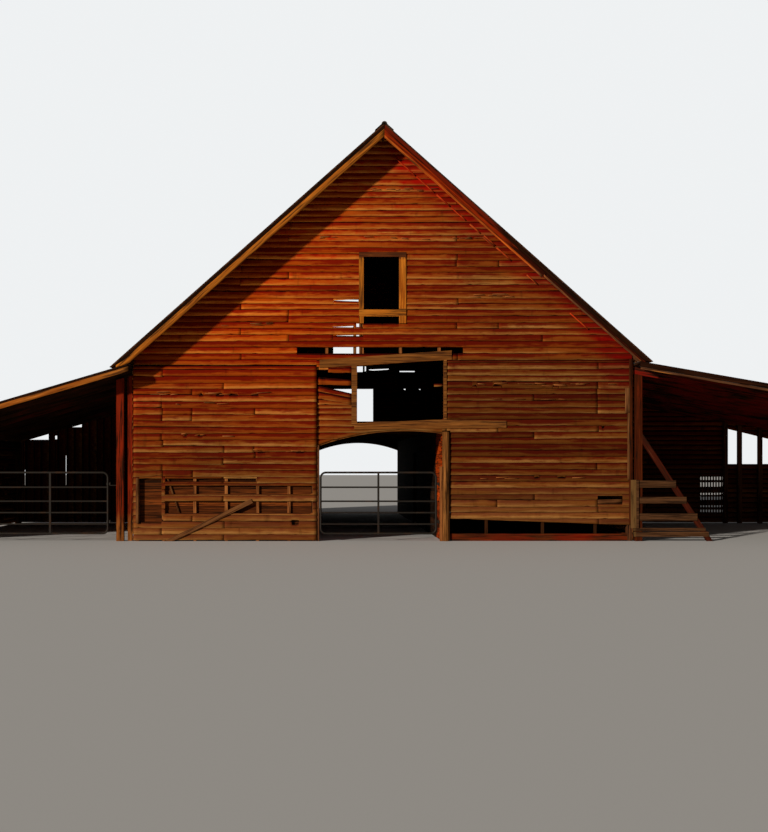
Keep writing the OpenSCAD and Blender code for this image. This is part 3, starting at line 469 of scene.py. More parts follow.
def makeBoardTree():
    group = bpy.data.node_groups.new("boardStock", "GeometryNodeTree")
    face = group.interface
    face.new_socket("Geometry", in_out="INPUT", socket_type="NodeSocketGeometry")
    for name in ("Wave", "Warp", "Chips", "Seed"):
        face.new_socket(name, in_out="INPUT", socket_type="NodeSocketFloat")
    face.new_socket("Finish", in_out="INPUT", socket_type="NodeSocketMaterial")
    face.new_socket("Geometry", in_out="OUTPUT", socket_type="NodeSocketGeometry")
    web = Web(group)
    given = web.node("NodeGroupInput", {}, {})
    inputs = {s.name: Sock(web, s) for s in given.outputs if s.name}

    def stored(name, kind):
        return web.add("GeometryNodeInputNamedAttribute", {"data_type": kind}, {"Name": name})

    def store(mesh, name, value, selection=True):
        settings = {"data_type": "FLOAT", "domain": "POINT"}
        values = {"Geometry": mesh, "Selection": selection, "Name": name, "Value": value}
        return web.add("GeometryNodeStoreNamedAttribute", settings, values)

    across, out = stored("across", "FLOAT_VECTOR"), stored("out", "FLOAT_VECTOR")
    tone, steps = stored("tone", "FLOAT"), stockLook["steps"]
    mesh, selection = store(inputs["Geometry"], "edge", 0.0), True
    for step in range(steps):
        offset = web.scaled(across, 1 / steps)
        extruded = web.node("GeometryNodeExtrudeMesh", {"mode": "EDGES"},
            {"Mesh": mesh, "Selection": selection, "Offset": offset, "Offset Scale": 1.0})
        selection = Sock(web, extruded.outputs["Top"])
        mesh = store(Sock(web, extruded.outputs["Mesh"]), "edge", (step + 1) / steps, selection)
    edge = stored("edge", "FLOAT")
    place = web.add("GeometryNodeInputPosition", {}, {})
    seed = tone * 31.0 + inputs["Seed"]
    wave = (web.noise(place, 0.9, 2.0, 0.5, seed) - 0.5) * inputs["Wave"] * 2.0
    rough = web.noise(place, 6.0, 3.0, 0.6, seed + 4.0) - stockLook["chipsFrom"]
    notch = rough.calc("MAXIMUM", 0.0) * inputs["Chips"] * 5.0
    notch = notch * (1.0 - edge * 3.0).calc("MAXIMUM", 0.0)
    warp = (web.noise(place, 0.7, 2.0, 0.5, seed + 9.0) - 0.5) * inputs["Warp"] * 2.0
    outward, upward = web.vector("NORMALIZE", out), web.vector("NORMALIZE", across)
    shift = web.vector("ADD", web.scaled(upward, wave + notch), web.scaled(outward, warp))
    mesh = web.add("GeometryNodeSetPosition", {}, {"Geometry": mesh, "Offset": shift})
    thinned = web.scaled(out, 1.0 - edge * stockLook["thinner"])
    front = web.add("GeometryNodeExtrudeMesh", {"mode": "FACES"},
        {"Mesh": mesh, "Offset": thinned, "Offset Scale": 1.0, "Individual": False})
    back = web.add("GeometryNodeFlipFaces", {}, {"Mesh": mesh})
    joined = web.node("GeometryNodeJoinGeometry", {}, {})
    web.tree.links.new(front.socket, joined.inputs[0])
    web.tree.links.new(back.socket, joined.inputs[0])
    both = {"Geometry": Sock(web, joined.outputs[0]), "Distance": stockLook["weld"]}
    merged = web.add("GeometryNodeMergeByDistance", {}, both)
    whole = web.add("GeometryNodeRealizeInstances", {}, {"Geometry": merged})
    finished = web.add("GeometryNodeSetMaterial", {}, {"Geometry": whole, "Material": inputs["Finish"]})
    web.node("NodeGroupOutput", {}, {"Geometry": finished})
    return group


boardTree = makeBoardTree()


def setInput(modifier, name, value):
    for item in modifier.node_group.interface.items_tree:
        if item.name == name and item.in_out == "INPUT":
            modifier[item.identifier] = value


# Boards in the making: their lower back edges, with what the tree reads at each point
class Stack:
    def __init__(self):
        self.points, self.edges = [], []
        self.across, self.out, self.tone = [], [], []

    def board(self, points, across, out, tone):
        first = len(self.points)
        self.points += points
        self.across += across
        self.out += [out] * len(points)
        self.tone += [tone] * len(points)
        self.edges += [(first + i, first + i + 1) for i in range(len(points) - 1)]

    def mesh(self, name):
        mesh = bpy.data.meshes.new(name)
        mesh.from_pydata(self.points, self.edges, [])
        for key, values in (("across", self.across), ("out", self.out)):
            data = mesh.attributes.new(key, "FLOAT_VECTOR", "POINT")
            data.data.foreach_set("vector", [c for v in values for c in v])
        mesh.attributes.new("tone", "FLOAT", "POINT").data.foreach_set("value", self.tone)
        return mesh


# Runs a stack of boards through the tree and keeps the result as a plain mesh
def makeBoards(name, stack, finish, wave, warp, chips, seed):
    obj = bpy.data.objects.new(name, stack.mesh(name))
    bpy.context.scene.collection.objects.link(obj)
    modifier = obj.modifiers.new("boards", "NODES")
    modifier.node_group = boardTree
    for key, value in (("Wave", wave), ("Warp", warp), ("Chips", chips), ("Seed", seed), ("Finish", finish)):
        setInput(modifier, key, value)
    made = bpy.data.meshes.new_from_object(obj.evaluated_get(bpy.context.evaluated_depsgraph_get()))
    obj.modifiers.remove(modifier)
    shape = bmesh.new()
    shape.from_mesh(made)
    bmesh.ops.recalc_face_normals(shape, faces=shape.faces)
    shape.to_mesh(made)
    shape.free()
    obj.data = made
    made.name = name
    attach(obj, "barn")
    print(name, len(made.polygons), "faces")
    return obj


# Lapped siding in metres: what shows of each course, how far its top runs up behind the next one, how far
# its foot stands off the wall and its top lies behind it, its thickness, and the least height that is kept
coursing = {
    "shows": 0.13, "lap": 0.04, "push": 0.022, "base": -0.012, "thick": 0.013, "least": 0.012,
    "uneven": (0.95, 1.05), "sprung": (0.85, 1.25), "astray": (-0.02, 0.02),   # of courses, feet and joints
    "ground": 0.1, "shortest": 0.03,         # below the first nothing sags down, and no board is shorter
}
tiny = 1e-6


# The part of a vertical line at u that lies inside a polygon without bays
def crossing(polygon, u):
    u += tiny
    heights = []
    for (u0, z0), (u1, z1) in zip(polygon, polygon[1:] + polygon[:1]):
        if (u0 - u) * (u1 - u) < 0:
            heights.append(z0 + (u - u0) / (u1 - u0) * (z1 - z0))
    return (min(heights), max(heights)) if heights else None


# What the holes leave of some stretches of a vertical line at u
def leftBy(holes, parts, u):
    for hole in holes:
        cut = crossing(hole, u)
        if cut:
            parts = [p for a, b in parts for p in ((a, min(b, cut[0])), (max(a, cut[1]), b))]
    return parts


# The stretches of wall at u between two heights, the longest first
def stretchesAt(wall, u, low, high):
    inside = crossing(wall["outline"], u)
    if not inside:
        return []
    parts = leftBy(wall["holes"], [(max(low, inside[0]), min(high, inside[1]))], u)
    return sorted((p for p in parts if p[1] - p[0] > coursing["least"]), key=lambda p: p[0] - p[1])


# Where a course is cut: evenly, at both sides of a corner, and where a slanting edge crosses its levels
def samplePlaces(wall, low, high, start, end):
    count = max(1, round((end - start) / wall["step"]))
    places = {start + (end - start) * i / count for i in range(count + 1)}
    nick, rim = 0.001, coursing["thick"]
    for polygon in [wall["outline"]] + wall["holes"]:
        heights = [z for _, z in polygon]
        if min(heights) > high or max(heights) < low:
            continue
        for (u0, z0), (u1, z1) in zip(polygon, polygon[1:] + polygon[:1]):
            places |= {u0 - nick, u0 + nick}
            for level in (low, low + rim, high - rim, high):
                if (z0 - level) * (z1 - level) < 0:
                    places.add(u0 + (level - z0) / (z1 - z0) * (u1 - u0))
    return sorted(u for u in places if start - tiny <= u <= end + tiny)


# Lays the courses of a wall from the ground up, cut by its outline and its holes
def layCourses(wall, stack):
    dice = random.Random(wall["seed"])
    run, face, corner = Vector(wall["run"]), Vector(wall["face"]), Vector(wall["corner"])
    us = [u for u, _ in wall["outline"]]
    low, lap, thick = wall["from"], coursing["lap"], coursing["thick"]
    while low < wall["to"]:
        rise = coursing["shows"] * dice.uniform(*coursing["uneven"])
        high = low + rise + lap
        joints = sorted(j for j, chance in wall["joints"] if dice.random() < chance)
        ends = [min(us)] + [j + dice.uniform(*coursing["astray"]) for j in joints] + [max(us)]
        for start, end in zip(ends, ends[1:]):
            tone = dice.random()
            push = wall.get("push", coursing["push"]) * dice.uniform(*coursing["sprung"])
            sag = [dice.gauss(0, wall["sag"]) for _ in range(2)]
            if low < coursing["ground"]:
                sag = [abs(drop) * 0.5 for drop in sag]
            places = samplePlaces(wall, low, high, start + wall["gap"], end - wall["gap"]) + [None]
            rows = []
            for layer, u in [(0, u) for u in places] + [(1, u) for u in places]:
                parts = stretchesAt(wall, u, low, high) if u is not None else []
                if len(parts) > layer:
                    span = parts[layer]
                    t = (u - start) / (end - start)
                    z0 = span[0] + (sag[0] * (1 - t) + sag[1] * t if span[0] - low < tiny else 0)
                    rows.append((u, z0, span[1]))
                    continue
                if len(rows) > 1 and rows[-1][0] - rows[0][0] > coursing["shortest"]:
                    points, across = [], []
                    for at, z0, z1 in rows:
                        d0, d1 = (coursing["base"] + push * (1 - (z - low) / (rise + lap)) for z in (z0, z1))
                        points.append(corner + run * at + up * z0 + face * (d0 - thick))
                        across.append(up * (z1 - z0) + face * (d1 - d0))
                    stack.board(points, across, face * thick, tone)
                rows = []
        low += rise


# Upright boards in metres: every second one stands back, and each laps behind its neighbours, but not across
# the edge of a hole
uprights = {
    "back": 0.014, "lap": 0.012, "holeLap": 0.003, "inside": 0.012, "thick": 0.016, "step": 0.3,
    "margin": 0.02, "shortest": 0.05,
}


# Boards that stand side by side. They end where the wall's outline and holes end at their middles.
def standBoards(wall, stack):
    dice = random.Random(wall["seed"])
    run, face, corner = Vector(wall["run"]), Vector(wall["face"]), Vector(wall["corner"])
    us = [u for u, _ in wall["outline"]]
    inner = {round(u, 2) for polygon in [wall["outline"]] + wall["holes"] for u, _ in polygon}
    left, right = min(us), max(us)
    cuts = sorted({u for u in inner if left + uprights["margin"] < u < right - uprights["margin"]}
        | {left, right})
    edges = []
    for start, end in zip(cuts, cuts[1:]):
        count = max(1, round((end - start) / wall["width"]))
        edges += [start + (end - start) * i / count for i in range(count)]
    for i, (u0, u1) in enumerate(zip(edges, edges[1:] + [right])):
        middle = (u0 + u1) / 2
        u0 -= uprights["holeLap"] if u0 in cuts else uprights["lap"]
        u1 += uprights["holeLap"] if u1 in cuts else uprights["lap"]
        parts = leftBy(wall["holes"], [crossing(wall["outline"], middle)], middle)
        tone, lean = dice.random(), -uprights["back"] * (i % 2)
        for z0, z1 in parts:
            if z1 - z0 < uprights["shortest"]:
                continue
            count = max(2, round((z1 - z0) / uprights["step"]))
            side = corner + run * u0 - face * uprights["inside"]
            points = [side + up * (z0 + (z1 - z0) * i / count) + face * lean for i in range(count + 1)]
            stack.board(points, [run * (u1 - u0)] * (count + 1), face * uprights["thick"], tone)


# A board nailed on the front by its centre line, from one place to another
def nailBoard(stack, start, end, width, thick, tone):
    start, end = Vector(start), Vector(end)
    across = frontward.cross((end - start).normalized()) * width
    count = max(2, round((end - start).length / 0.15))
    points = [start + (end - start) * i / count - across / 2 for i in range(count + 1)]
    stack.board(points, [across] * (count + 1), frontward * thick, tone)


def box(u0, u1, z0, z1):
    return [(u0, z0), (u1, z0), (u1, z1), (u0, z1)]


# An arched opening from the ground up: the arc's crown, its height, its radius, and the two sides
def arch(crown, top, radius, u0, u1):
    us = [u0 + (u1 - u0) * i / 24 for i in range(25)]
    rim = [(u, top - radius + math.sqrt(radius ** 2 - (u - crown) ** 2)) for u in us]
    return [(u0, 0)] + rim + [(u1, 0)]


def evenJoints(left, right, spacing, chance, seed):
    dice = random.Random(seed)
    count = int((right - left) / spacing)
    return [(left + (i + 0.5) * spacing, chance * dice.uniform(0.5, 1.5)) for i in range(count)]


# Splinters gone from the lower edge of a course
def splinters(z, left, right, count, seed):
    dice = random.Random(seed)
    found = []
    for _ in range(count):
        u, wide = dice.uniform(left, right), dice.uniform(0.06, 0.2)
        peak = u + wide * dice.uniform(0.2, 0.8)
        found.append([(u, z - 0.01), (u + wide, z - 0.01), (peak, z + dice.uniform(0.006, 0.022))])
    return found


# The gable's outline above z, with its top a little into the roof boards
def gableTop(reach, z):
    peak = ridgeZ + 0.012
    eave = peak - reach * math.tan(pitch)
    return [(reach, z), (reach, eave), (0, peak), (-reach, eave), (-reach, z)]


# The front and the back, measured across from the barn's middle
doorLeft, doorRight, skinEnd, rightStart = -1.33, 1.23, -1.38, 1.402
loftRight, doorTop = 1.322, 2.31
loftHole = [(-0.54, 2.448), (1.26, 2.527), (1.26, 3.754), (-0.54, 3.64)]
windowHole = box(-0.404, 0.336, 4.522, 5.905)
footZ = 0.022                                        # the lowest boards' edge, a little off the ground

# The sheds: how far out their outer posts reach from the barn's middle, those posts' width and height at the
# back, where the rafters meet the barn, and the fall of the roof
shedSideLow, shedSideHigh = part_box("shed_sides")
shedPostLow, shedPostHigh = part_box("shed_posts")
leftShed = {"out": mid - shedPostLow.x, "post": 0.127, "eave": 2.02, "start": 3.64,
    "fall": math.tan(math.radians(leftSlope)), "end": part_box("left_shed_end")[1].y}
rightShed = {"out": shedPostHigh.x - mid, "post": 0.127, "eave": 2.24, "start": 3.687,
    "fall": math.tan(math.radians(rightSlope)), "end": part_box("right_shed_end")[1].y}
leftOut, rightOut = leftShed["out"], rightShed["out"]


# Where the underside of a shed's purlins lies at a distance from the barn's middle
def shedTop(shed, reach):
    return shed["start"] - 0.044 - (reach - faceX) * shed["fall"]


# The outline of a shed's back, from the barn out to the outer post
def shedEnd(shed):
    out, post, inner = shed["out"], shed["post"], faceX + 0.05
    return [(inner, footZ), (out, footZ), (out, shed["eave"]), (out - post, shed["eave"]),
        (out - post - 0.001, shedTop(shed, out - post - 0.003)), (inner, shedTop(shed, faceX))]


# The walls, piece by piece: corner, run and face are a wall's own axes, step is how often a board is
# measured, gap how far it ends short of a joint (below 0 it laps), sag how far its ends drop, and joints are
# places with how often a board ends there. "again" gives what differs on a second wall of the same piece.
def facing(finish, y, side, step, gap):
    return {"finish": finish, "corner": (mid, y, 0), "run": (1, 0, 0), "face": (0, side, 0), "step": step,
        "gap": gap, "holes": [], "joints": []}


frontFace, skinFace = (facing(sidingFront, y, -1, 0.07, 0.002) for y in (frontY, skinY))
backFace, shedBack = (facing(sidingBack, y, 1, 0.16, -0.003) for y in (backY, rightShed["end"]))
sideFace = {"finish": sidingSide, "run": (0, 1, 0), "face": (-1, 0, 0), "step": 0.3, "gap": -0.003,
    "from": 0.01, "sag": 0.007, "holes": []}
walls = {
    "gable_siding": {**frontFace, "nodes": ["front_gable"], "seed": 11, "from": 3.64, "to": ridgeZ,
        "sag": 0.009, "outline": gableTop(halfWide, 3.66),
        "holes": [windowHole, box(-1.79, 1.664, 3.9, 4.03), box(-1.38, 6, 3.5, lowerTop),
            [(-1.03, 5.0), (-0.51, 4.98), (-0.51, 5.03)], [(-1.04, 4.449), (-0.6, 4.441), (-0.6, 4.474)],
            [(-1.04, 4.268), (-0.41, 4.26), (-0.41, 4.288)], box(-0.56, -0.42, 4.45, 4.52)],
        "joints": [(-2.95, 0.25), (-1.95, 0.3), (-1.23, 0.16), (1.55, 0.2), (2.4, 0.15), (3.3, 0.15)],
    },
    "lower_left_siding": {**skinFace, "nodes": ["front_wall_left"], "seed": 23, "from": 0.01,
        "to": skinHigh.z - 0.02, "sag": 0.009, "outline": box(-halfWide, skinEnd, footZ, skinHigh.z),
        "holes": [box(-5.062, -4.595, 0.395, 1.3), box(-4.524, -2.62, 1.235, 1.3),
            box(-4.524, -1.46, 0.975, 1.15), box(-4.524, -1.46, 0.58, 0.83), box(-1.9, -1.75, 0.345, 0.435)]
            + splinters(3.05, -4.9, -2.6, 4, 5) + splinters(1.86, -2.6, -1.6, 2, 6)
            + splinters(2.2, -4.6, -3.2, 2, 7),
        "joints": [(-4.576, 0.45), (-3.95, 0.12), (-3.3, 0.2), (-2.66, 0.15)],
    },
    "lower_right_siding": {**frontFace, "nodes": ["front_wall_right"], "seed": 37, "from": 0.33,
        "to": lowerTop - 0.02, "sag": 0.009,
        "outline": [(loftRight, 2.29), (rightStart, 2.29), (rightStart, 0.468), (halfWide, 0.333),
            (halfWide, lowerTop), (loftRight, lowerTop)],
        "holes": [box(4.46, 4.98, 0.776, 0.936), box(4.55, 4.6, 2.345, 2.385)]
            + splinters(3.24, 1.6, 4.6, 3, 8) + splinters(1.33, 2.0, 4.0, 2, 10),
        "joints": [(4.472, 0.4), (3.15, 0.15), (2.38, 0.15)],
    },
    "over_door_siding": {**frontFace, "nodes": ["front_over_door"], "seed": 41, "step": 0.05, "from": 1.99,
        "to": lowerTop - 0.02, "sag": 0.006, "outline": box(skinEnd, loftRight, 1.99, lowerTop),
        "holes": [arch(0.458, doorTop, 5.344, doorLeft, doorRight),
            box(doorRight, rightStart + 0.1, 0, 2.29), loftHole, box(skinEnd - 0.01, -0.6, 2.85, 3.56)],
    },
    "back_siding": {**backFace, "nodes": ["back_wall", "back_gable"], "seed": 53, "from": 0.01, "to": ridgeZ,
        "sag": 0.007, "outline": [(-halfWide, footZ), (halfWide, footZ)] + gableTop(halfWide, 3.0)[1:4],
        "holes": [arch(-0.05, doorTop, 3.56, doorLeft, doorRight), box(doorLeft, 0.43, 2.448, 4.06),
            box(-0.874, 0.095, 5.15, ridgeZ - 1.51), box(-0.45, 0.2, 4.62, 4.8),
            [(0.3, 4.66), (0.95, 4.7), (0.95, 4.73), (0.3, 4.7)], box(1.3, 1.8, 4.62, 4.655),
            box(1.44, 1.5, 4.02, 4.07), box(1.94, 1.99, 4.02, 4.06)],
        "joints": evenJoints(-5, 5, 1.25, 0.2, 2),
    },
    "side_siding": {**sideFace, "nodes": ["side_walls"], "seed": 61, "corner": (mid - faceX, 0, 0),
        "to": sideHigh.z - 0.03, "outline": box(0.022 - backY, backY - 0.022, footZ, sideHigh.z - 0.005),
        "joints": evenJoints(-7.6, 7.6, 1.9, 0.25, 3),
        "again": {"corner": (mid + faceX, 0, 0), "face": (1, 0, 0), "seed": 62},
    },
    "shed_side_siding": {**sideFace, "nodes": ["shed_sides"], "seed": 67, "corner": (shedSideLow.x, 0, 0),
        "to": shedSideHigh.z - 0.03, "push": 0.0,
        "outline": box(shedSideLow.y, shedSideHigh.y, footZ, shedSideHigh.z),
        "joints": evenJoints(-7.6, 0.4, 1.9, 0.25, 4),
        "again": {"corner": (shedSideHigh.x, 0, 0), "face": (1, 0, 0), "seed": 68,
            "outline": box(shedSideLow.y, shedSideHigh.y, footZ, 1.25), "to": 1.22},
    },
    "left_end_boards": {**backFace, "nodes": ["left_shed_end"], "seed": 71, "width": 0.19, "upright": True,
        "corner": (mid, leftShed["end"], 0), "run": (-1, 0, 0), "outline": shedEnd(leftShed),
        "holes": [box(leftOut - start, leftOut - end, low, high) for start, end, low, high in (
            (0.88, 0.18, 2.26, 4), (1.777, 1.357, 2.6, 4), (1.105, 1.048, 2.272, 2.367),
            (1.36, 1.34, 1.03, 1.828), (0.25, 0.23, 1.025, 1.443))],
    },
    "right_end_siding": {**shedBack, "nodes": ["right_shed_end"], "seed": 73, "from": 0.01, "to": 3.62,
        "sag": 0.006, "outline": shedEnd(rightShed),
        "holes": [box(rightOut - 2.42, rightOut - 1.78, low, high) for low, high in ((0.291, 0.359),
            (0.427, 0.475), (0.627, 0.711), (0.763, 0.814), (0.981, 1.098), (1.166, 1.25))]
            + [[(rightOut - 1.71, 1.6), (rightOut - 0.15, 1.6), (rightOut - 0.15, 2.174),
                (rightOut - 1.71, 2.563)]],
        "joints": evenJoints(5.3, 11.3, 1.5, 0.2, 6),
    },
}
for name, wall in walls.items():
    stack = Stack()
    for version in [wall] + ([{**wall, **wall["again"]}] if "again" in wall else []):
        if wall.get("upright"):
            standBoards(version, stack)
        else:
            layCourses(version, stack)
    bend, chips = (0.002, 0.0) if wall.get("upright") else (0.013, 0.02)
    piece = makeBoards(name, stack, wall["finish"], bend, bend / 2, chips, wall["seed"])
    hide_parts(*wall["nodes"])
    "old_red" if name == "back_siding" else "weathered_red"


# Boards fanned out beside the loft's opening, where their nails have let go. Each one's two ends are given
# by the distance from the barn's middle and by the heights of its lower and upper edge.
fanLook = {
    "boards": [((-1.14, 3.5, 3.6), (-0.655, 3.49, 3.62)), ((-1.37, 3.25, 3.41), (-0.655, 3.23, 3.345)),
        ((-1.37, 3.1, 3.235), (-0.655, 2.954, 3.065)), ((-1.37, 2.96, 3.12), (-0.655, 2.845, 2.975)),
        ((-1.37, 2.83, 2.98), (-0.655, 2.83, 2.87))],
    "thick": 0.014, "apart": 0.004, "firstTone": 0.2, "nextTone": 0.15,
    "litEnd": ((1.07, 3.245), (1.255, 3.25)), "deep": 0.12, "wide": 0.06,     # a board inside the opening
    "stock": {"wave": 0.006, "warp": 0.004, "chips": 0.03, "seed": 5},
}


def fanBoards():
    stack = Stack()
    for i, ((u0, z0, t0), (u1, z1, t1)) in enumerate(fanLook["boards"]):
        steps = [k / 8 for k in range(9)]
        out = frontY - fanLook["apart"] * (i % 2)
        points = [Vector((mid + u0 + (u1 - u0) * k, out, z0 + (z1 - z0) * k)) for k in steps]
        across = [Vector((0, 0, t0 - z0 + (t1 - z1 - t0 + z0) * k)) for k in steps]
        tone = fanLook["firstTone"] + fanLook["nextTone"] * i
        stack.board(points, across, frontward * fanLook["thick"], tone)
    start, end = ((mid + u, frontY + fanLook["deep"], z) for u, z in fanLook["litEnd"])
    nailBoard(stack, start, end, fanLook["wide"], 0.02, 0.95)
    piece = makeBoards("fanned_boards", stack, sidingFront, **fanLook["stock"])


# Odd boards of the front: a distance from the barn's middle and a height for each end, how far the board's
# back lies from which wall, its width and its tone
oddLook = {
    "boards": [
        ((5.075, 2.66), (5.075, 3.18), frontY - 0.026, 0.1, 0.9),       # trims at the right corner
        ((5.096, 1.27), (5.096, 2.66), frontY - 0.026, 0.045, 0.3),
        ((4.44, 0.818), (4.97, 0.826), frontY + 0.03, 0.08, 0.8),       # a stub in the missing board's place
        ((-5.096, 0.37), (-5.096, 1.31), skinY - 0.026, 0.055, 0.7),    # a pale stud at the left corner
        ((-4.472, 1.3), (-4.243, 0.6), skinY + 0.05, 0.03, 0.9),        # a leaning stick
        ((-0.587, 3.72), (-0.587, 4.6), frontY + 0.03, 0.066, 0.1),     # uprights behind the lost course
        ((-0.472, 3.72), (-0.472, 4.6), frontY + 0.03, 0.05, 0.1),
    ],
    "thick": 0.02,
    "stock": {"wave": 0.002, "warp": 0.002, "chips": 0.01, "seed": 8},
}


def oddBoards():
    stack = Stack()
    for (u0, z0), (u1, z1), y, width, tone in oddLook["boards"]:
        nailBoard(stack, (mid + u0, y, z0), (mid + u1, y, z1), width, oddLook["thick"], tone)
    piece = makeBoards("odd_boards", stack, oddWood, **oddLook["stock"])


# Pale slivers of split boards, row by row: height, ends, plane, how many
sliverLook = {
    "rows": [(3.06, -4.9, -2.2, skinY, 10), (2.2, -4.6, -3.2, skinY, 4), (1.87, -2.7, -1.6, skinY, 5),
        (2.86, -4.4, -3.0, skinY, 3), (3.25, 1.5, 4.7, frontY, 13), (2.95, 1.8, 4.2, frontY, 4),
        (1.3, 2.0, 4.2, frontY, 4), (6.3, -1.4, 2.2, frontY, 12), (7.3, -0.4, 1.0, frontY, 9),
        (5.1, 1.2, 2.6, frontY, 7), (4.5, -3.4, -2.2, frontY, 6)],
    "long": (0.08, 0.3), "above": (-0.025, 0.03), "tilt": (-0.014, 0.014), "wide": (0.006, 0.016),
    "out": (0.022, 0.026), "thick": 0.006, "seed": 77,
    "stock": {"wave": 0.004, "warp": 0.002, "chips": 0.0, "seed": 12},
}


def slivers():
    dice = random.Random(sliverLook["seed"])
    stack = Stack()
    for z, left, right, plane, count in sliverLook["rows"]:
        for _ in range(count):
            u, long = mid + dice.uniform(left, right), dice.uniform(*sliverLook["long"])
            low, tilt = z + dice.uniform(*sliverLook["above"]), dice.uniform(*sliverLook["tilt"])
            wide, tone = dice.uniform(*sliverLook["wide"]), dice.random()
            near, far = (plane - out for out in sliverLook["out"])
            end = (u + long, far, low + tilt)
            nailBoard(stack, (u, near, low), end, wide, sliverLook["thick"], tone)
    piece = makeBoards("slivers", stack, sliverWood, **sliverLook["stock"])


# A broken strip on the siding, a little inside the right rake: start and end of each piece down the slope
# from the ridge, and its width
stripLook = {
    "pieces": [(0.5, 1.1, 0.026), (1.14, 1.62, 0.026), (1.7, 2.06, 0.034), (2.12, 2.5, 0.026),
        (2.62, 2.9, 0.03), (3.0, 3.3, 0.06), (3.36, 3.75, 0.034), (4.2, 4.5, 0.026), (5.4, 5.9, 0.026)],
    "inside": 0.24, "out": 0.028, "thick": 0.008, "tone": 0.95,
    "stock": {"wave": 0.003, "warp": 0.002, "chips": 0.0, "seed": 9},
}


def rakeStrip():
    stack = Stack()
    slope = Vector((math.cos(pitch), 0, -math.sin(pitch)))
    inward = Vector((math.sin(pitch), 0, math.cos(pitch)))
    top = Vector((mid, frontY - stripLook["out"], ridgeZ)) - inward * stripLook["inside"]
    for start, end, wide in stripLook["pieces"]:
        nailBoard(stack, top + slope * start, top + slope * end, wide, stripLook["thick"], stripLook["tone"])
    piece = makeBoards("rake_strip", stack, rakeStripWood, **stripLook["stock"])


# Boards nailed over the front edges of the roofs, tan on the left and red-brown on the right. For each piece
# its finish, how far it stands back, its material slot and its boards: node, side, depths of the upper and
# the lower edge under the roof's top, and the stretch of the slope that it covers
trimLook = {
    "left_rake_trim": (edgeWood, 0.003, "tan_trim", [("rake_boards", -1, 0.062, 0.178, 0.0, 1.0)]),
    "right_rake_strip": (edgeOrange, 0.0, "tan_trim", [("rake_boards", 1, 0.158, 0.204, 0.0, 0.62),
        ("rake_boards", 1, 0.128, 0.166, 0.62, 1.0)]),
    "right_rake_trim": (edgeRed, 0.005, "weathered_red", [("rake_boards", 1, 0.078, 0.17, 0.0, 0.62),
        ("rake_boards", 1, 0.078, 0.14, 0.62, 1.0)]),
    "shed_trims": (shedEdgeWood, -0.012, "tan_trim", [("shed_fascias", -1, 0.054, 0.15, 0.0, 1.0),
        ("shed_fascias", 1, 0.11, 0.155, 0.0, 1.0)]),
}
trimMake = {
    "steps": 40, "thick": 0.012, "tone": 0.5, "aboveShed": 0.01,
    "stock": {"wave": 0.004, "warp": 0.0, "chips": 0.008, "seed": 15},
}


# Where the top edge of a roof's front board runs, on one side: its plane, its height above the barn's middle
# when carried on up the slope, and its ends
def roofEdge(node, side, fall):
    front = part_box(node)[0].y
    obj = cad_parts[node]
    found = [obj.matrix_world @ v.co for v in obj.data.vertices]
    found = [((p.x - mid) * side, p.z) for p in found if p.y < front + 0.002 and (p.x - mid) * side > 0]
    reaches = [reach for reach, _ in found]
    return front, max(z + reach * fall for reach, z in found), min(reaches), max(reaches)


def roofTrims():
    steps = trimMake["steps"]
    for name, (finish, back, slot, boards) in trimLook.items():
        stack = Stack()
        for node, side, upper, lower, start, end in boards:
            shedFall, floorLine = (leftShed if side < 0 else rightShed)["fall"], -math.inf
            fall = math.tan(pitch) if node == "rake_boards" else shedFall
            front, top, inner, outer = roofEdge(node, side, fall)
            length = math.sqrt(1 + fall ** 2)
            if node == "rake_boards":
                # cut plumb at the ridge, and along the shed's roof at the foot
                floorLine = roofEdge("shed_fascias", side, shedFall)[1]
                meeting = (top - floorLine - upper * length) / (fall - shedFall)
                inner, outer = 0.0, meeting - trimMake["aboveShed"]
            points, across = [], []
            for i in range(steps + 1):
                u = inner + (outer - inner) * (start + (end - start) * i / steps)
                low = max(top - u * fall - lower * length, floorLine - u * shedFall)
                points.append(Vector((mid + side * u, front + back, low)))
                across.append(up * (top - u * fall - upper * length - low))
            stack.board(points, across, frontward * trimMake["thick"], trimMake["tone"])
        piece = makeBoards(name, stack, finish, **trimMake["stock"])


# The red board at the right corner, in the corner posts' finish, which is painted darker there: painted
# shade
cornerLook = {
    "at": 5.145, "out": 0.026, "foot": 0.36, "top": 3.78, "wide": 0.075, "thick": 0.016, "tone": 0.4,
    "stock": {"wave": 0.004, "warp": 0.001, "chips": 0.01, "seed": 21},
}


def cornerBoard():
    stack = Stack()
    x, y = mid + cornerLook["at"], frontY - cornerLook["out"]
    nailBoard(stack, (x, y, cornerLook["foot"]), (x, y, cornerLook["top"]), cornerLook["wide"],
        cornerLook["thick"], cornerLook["tone"])
    piece = makeBoards("corner_board", stack, redPostWood, **cornerLook["stock"])


# The pickets behind the slats of the right shed, and the strip under the left shed's purlins
picketLook = {
    "count": 9, "inside": 2.39, "apart": 0.075, "foot": 0.26, "top": 1.28, "wide": 0.036, "thick": 0.016,
    "inFront": 0.07, "strip": (0.06, 0.12), "stripInFront": 0.05, "under": 0.113, "stripWide": 0.1,
    "stripTone": 0.3, "stock": {"wave": 0.003, "warp": 0.002, "chips": 0.0, "seed": 22},
}


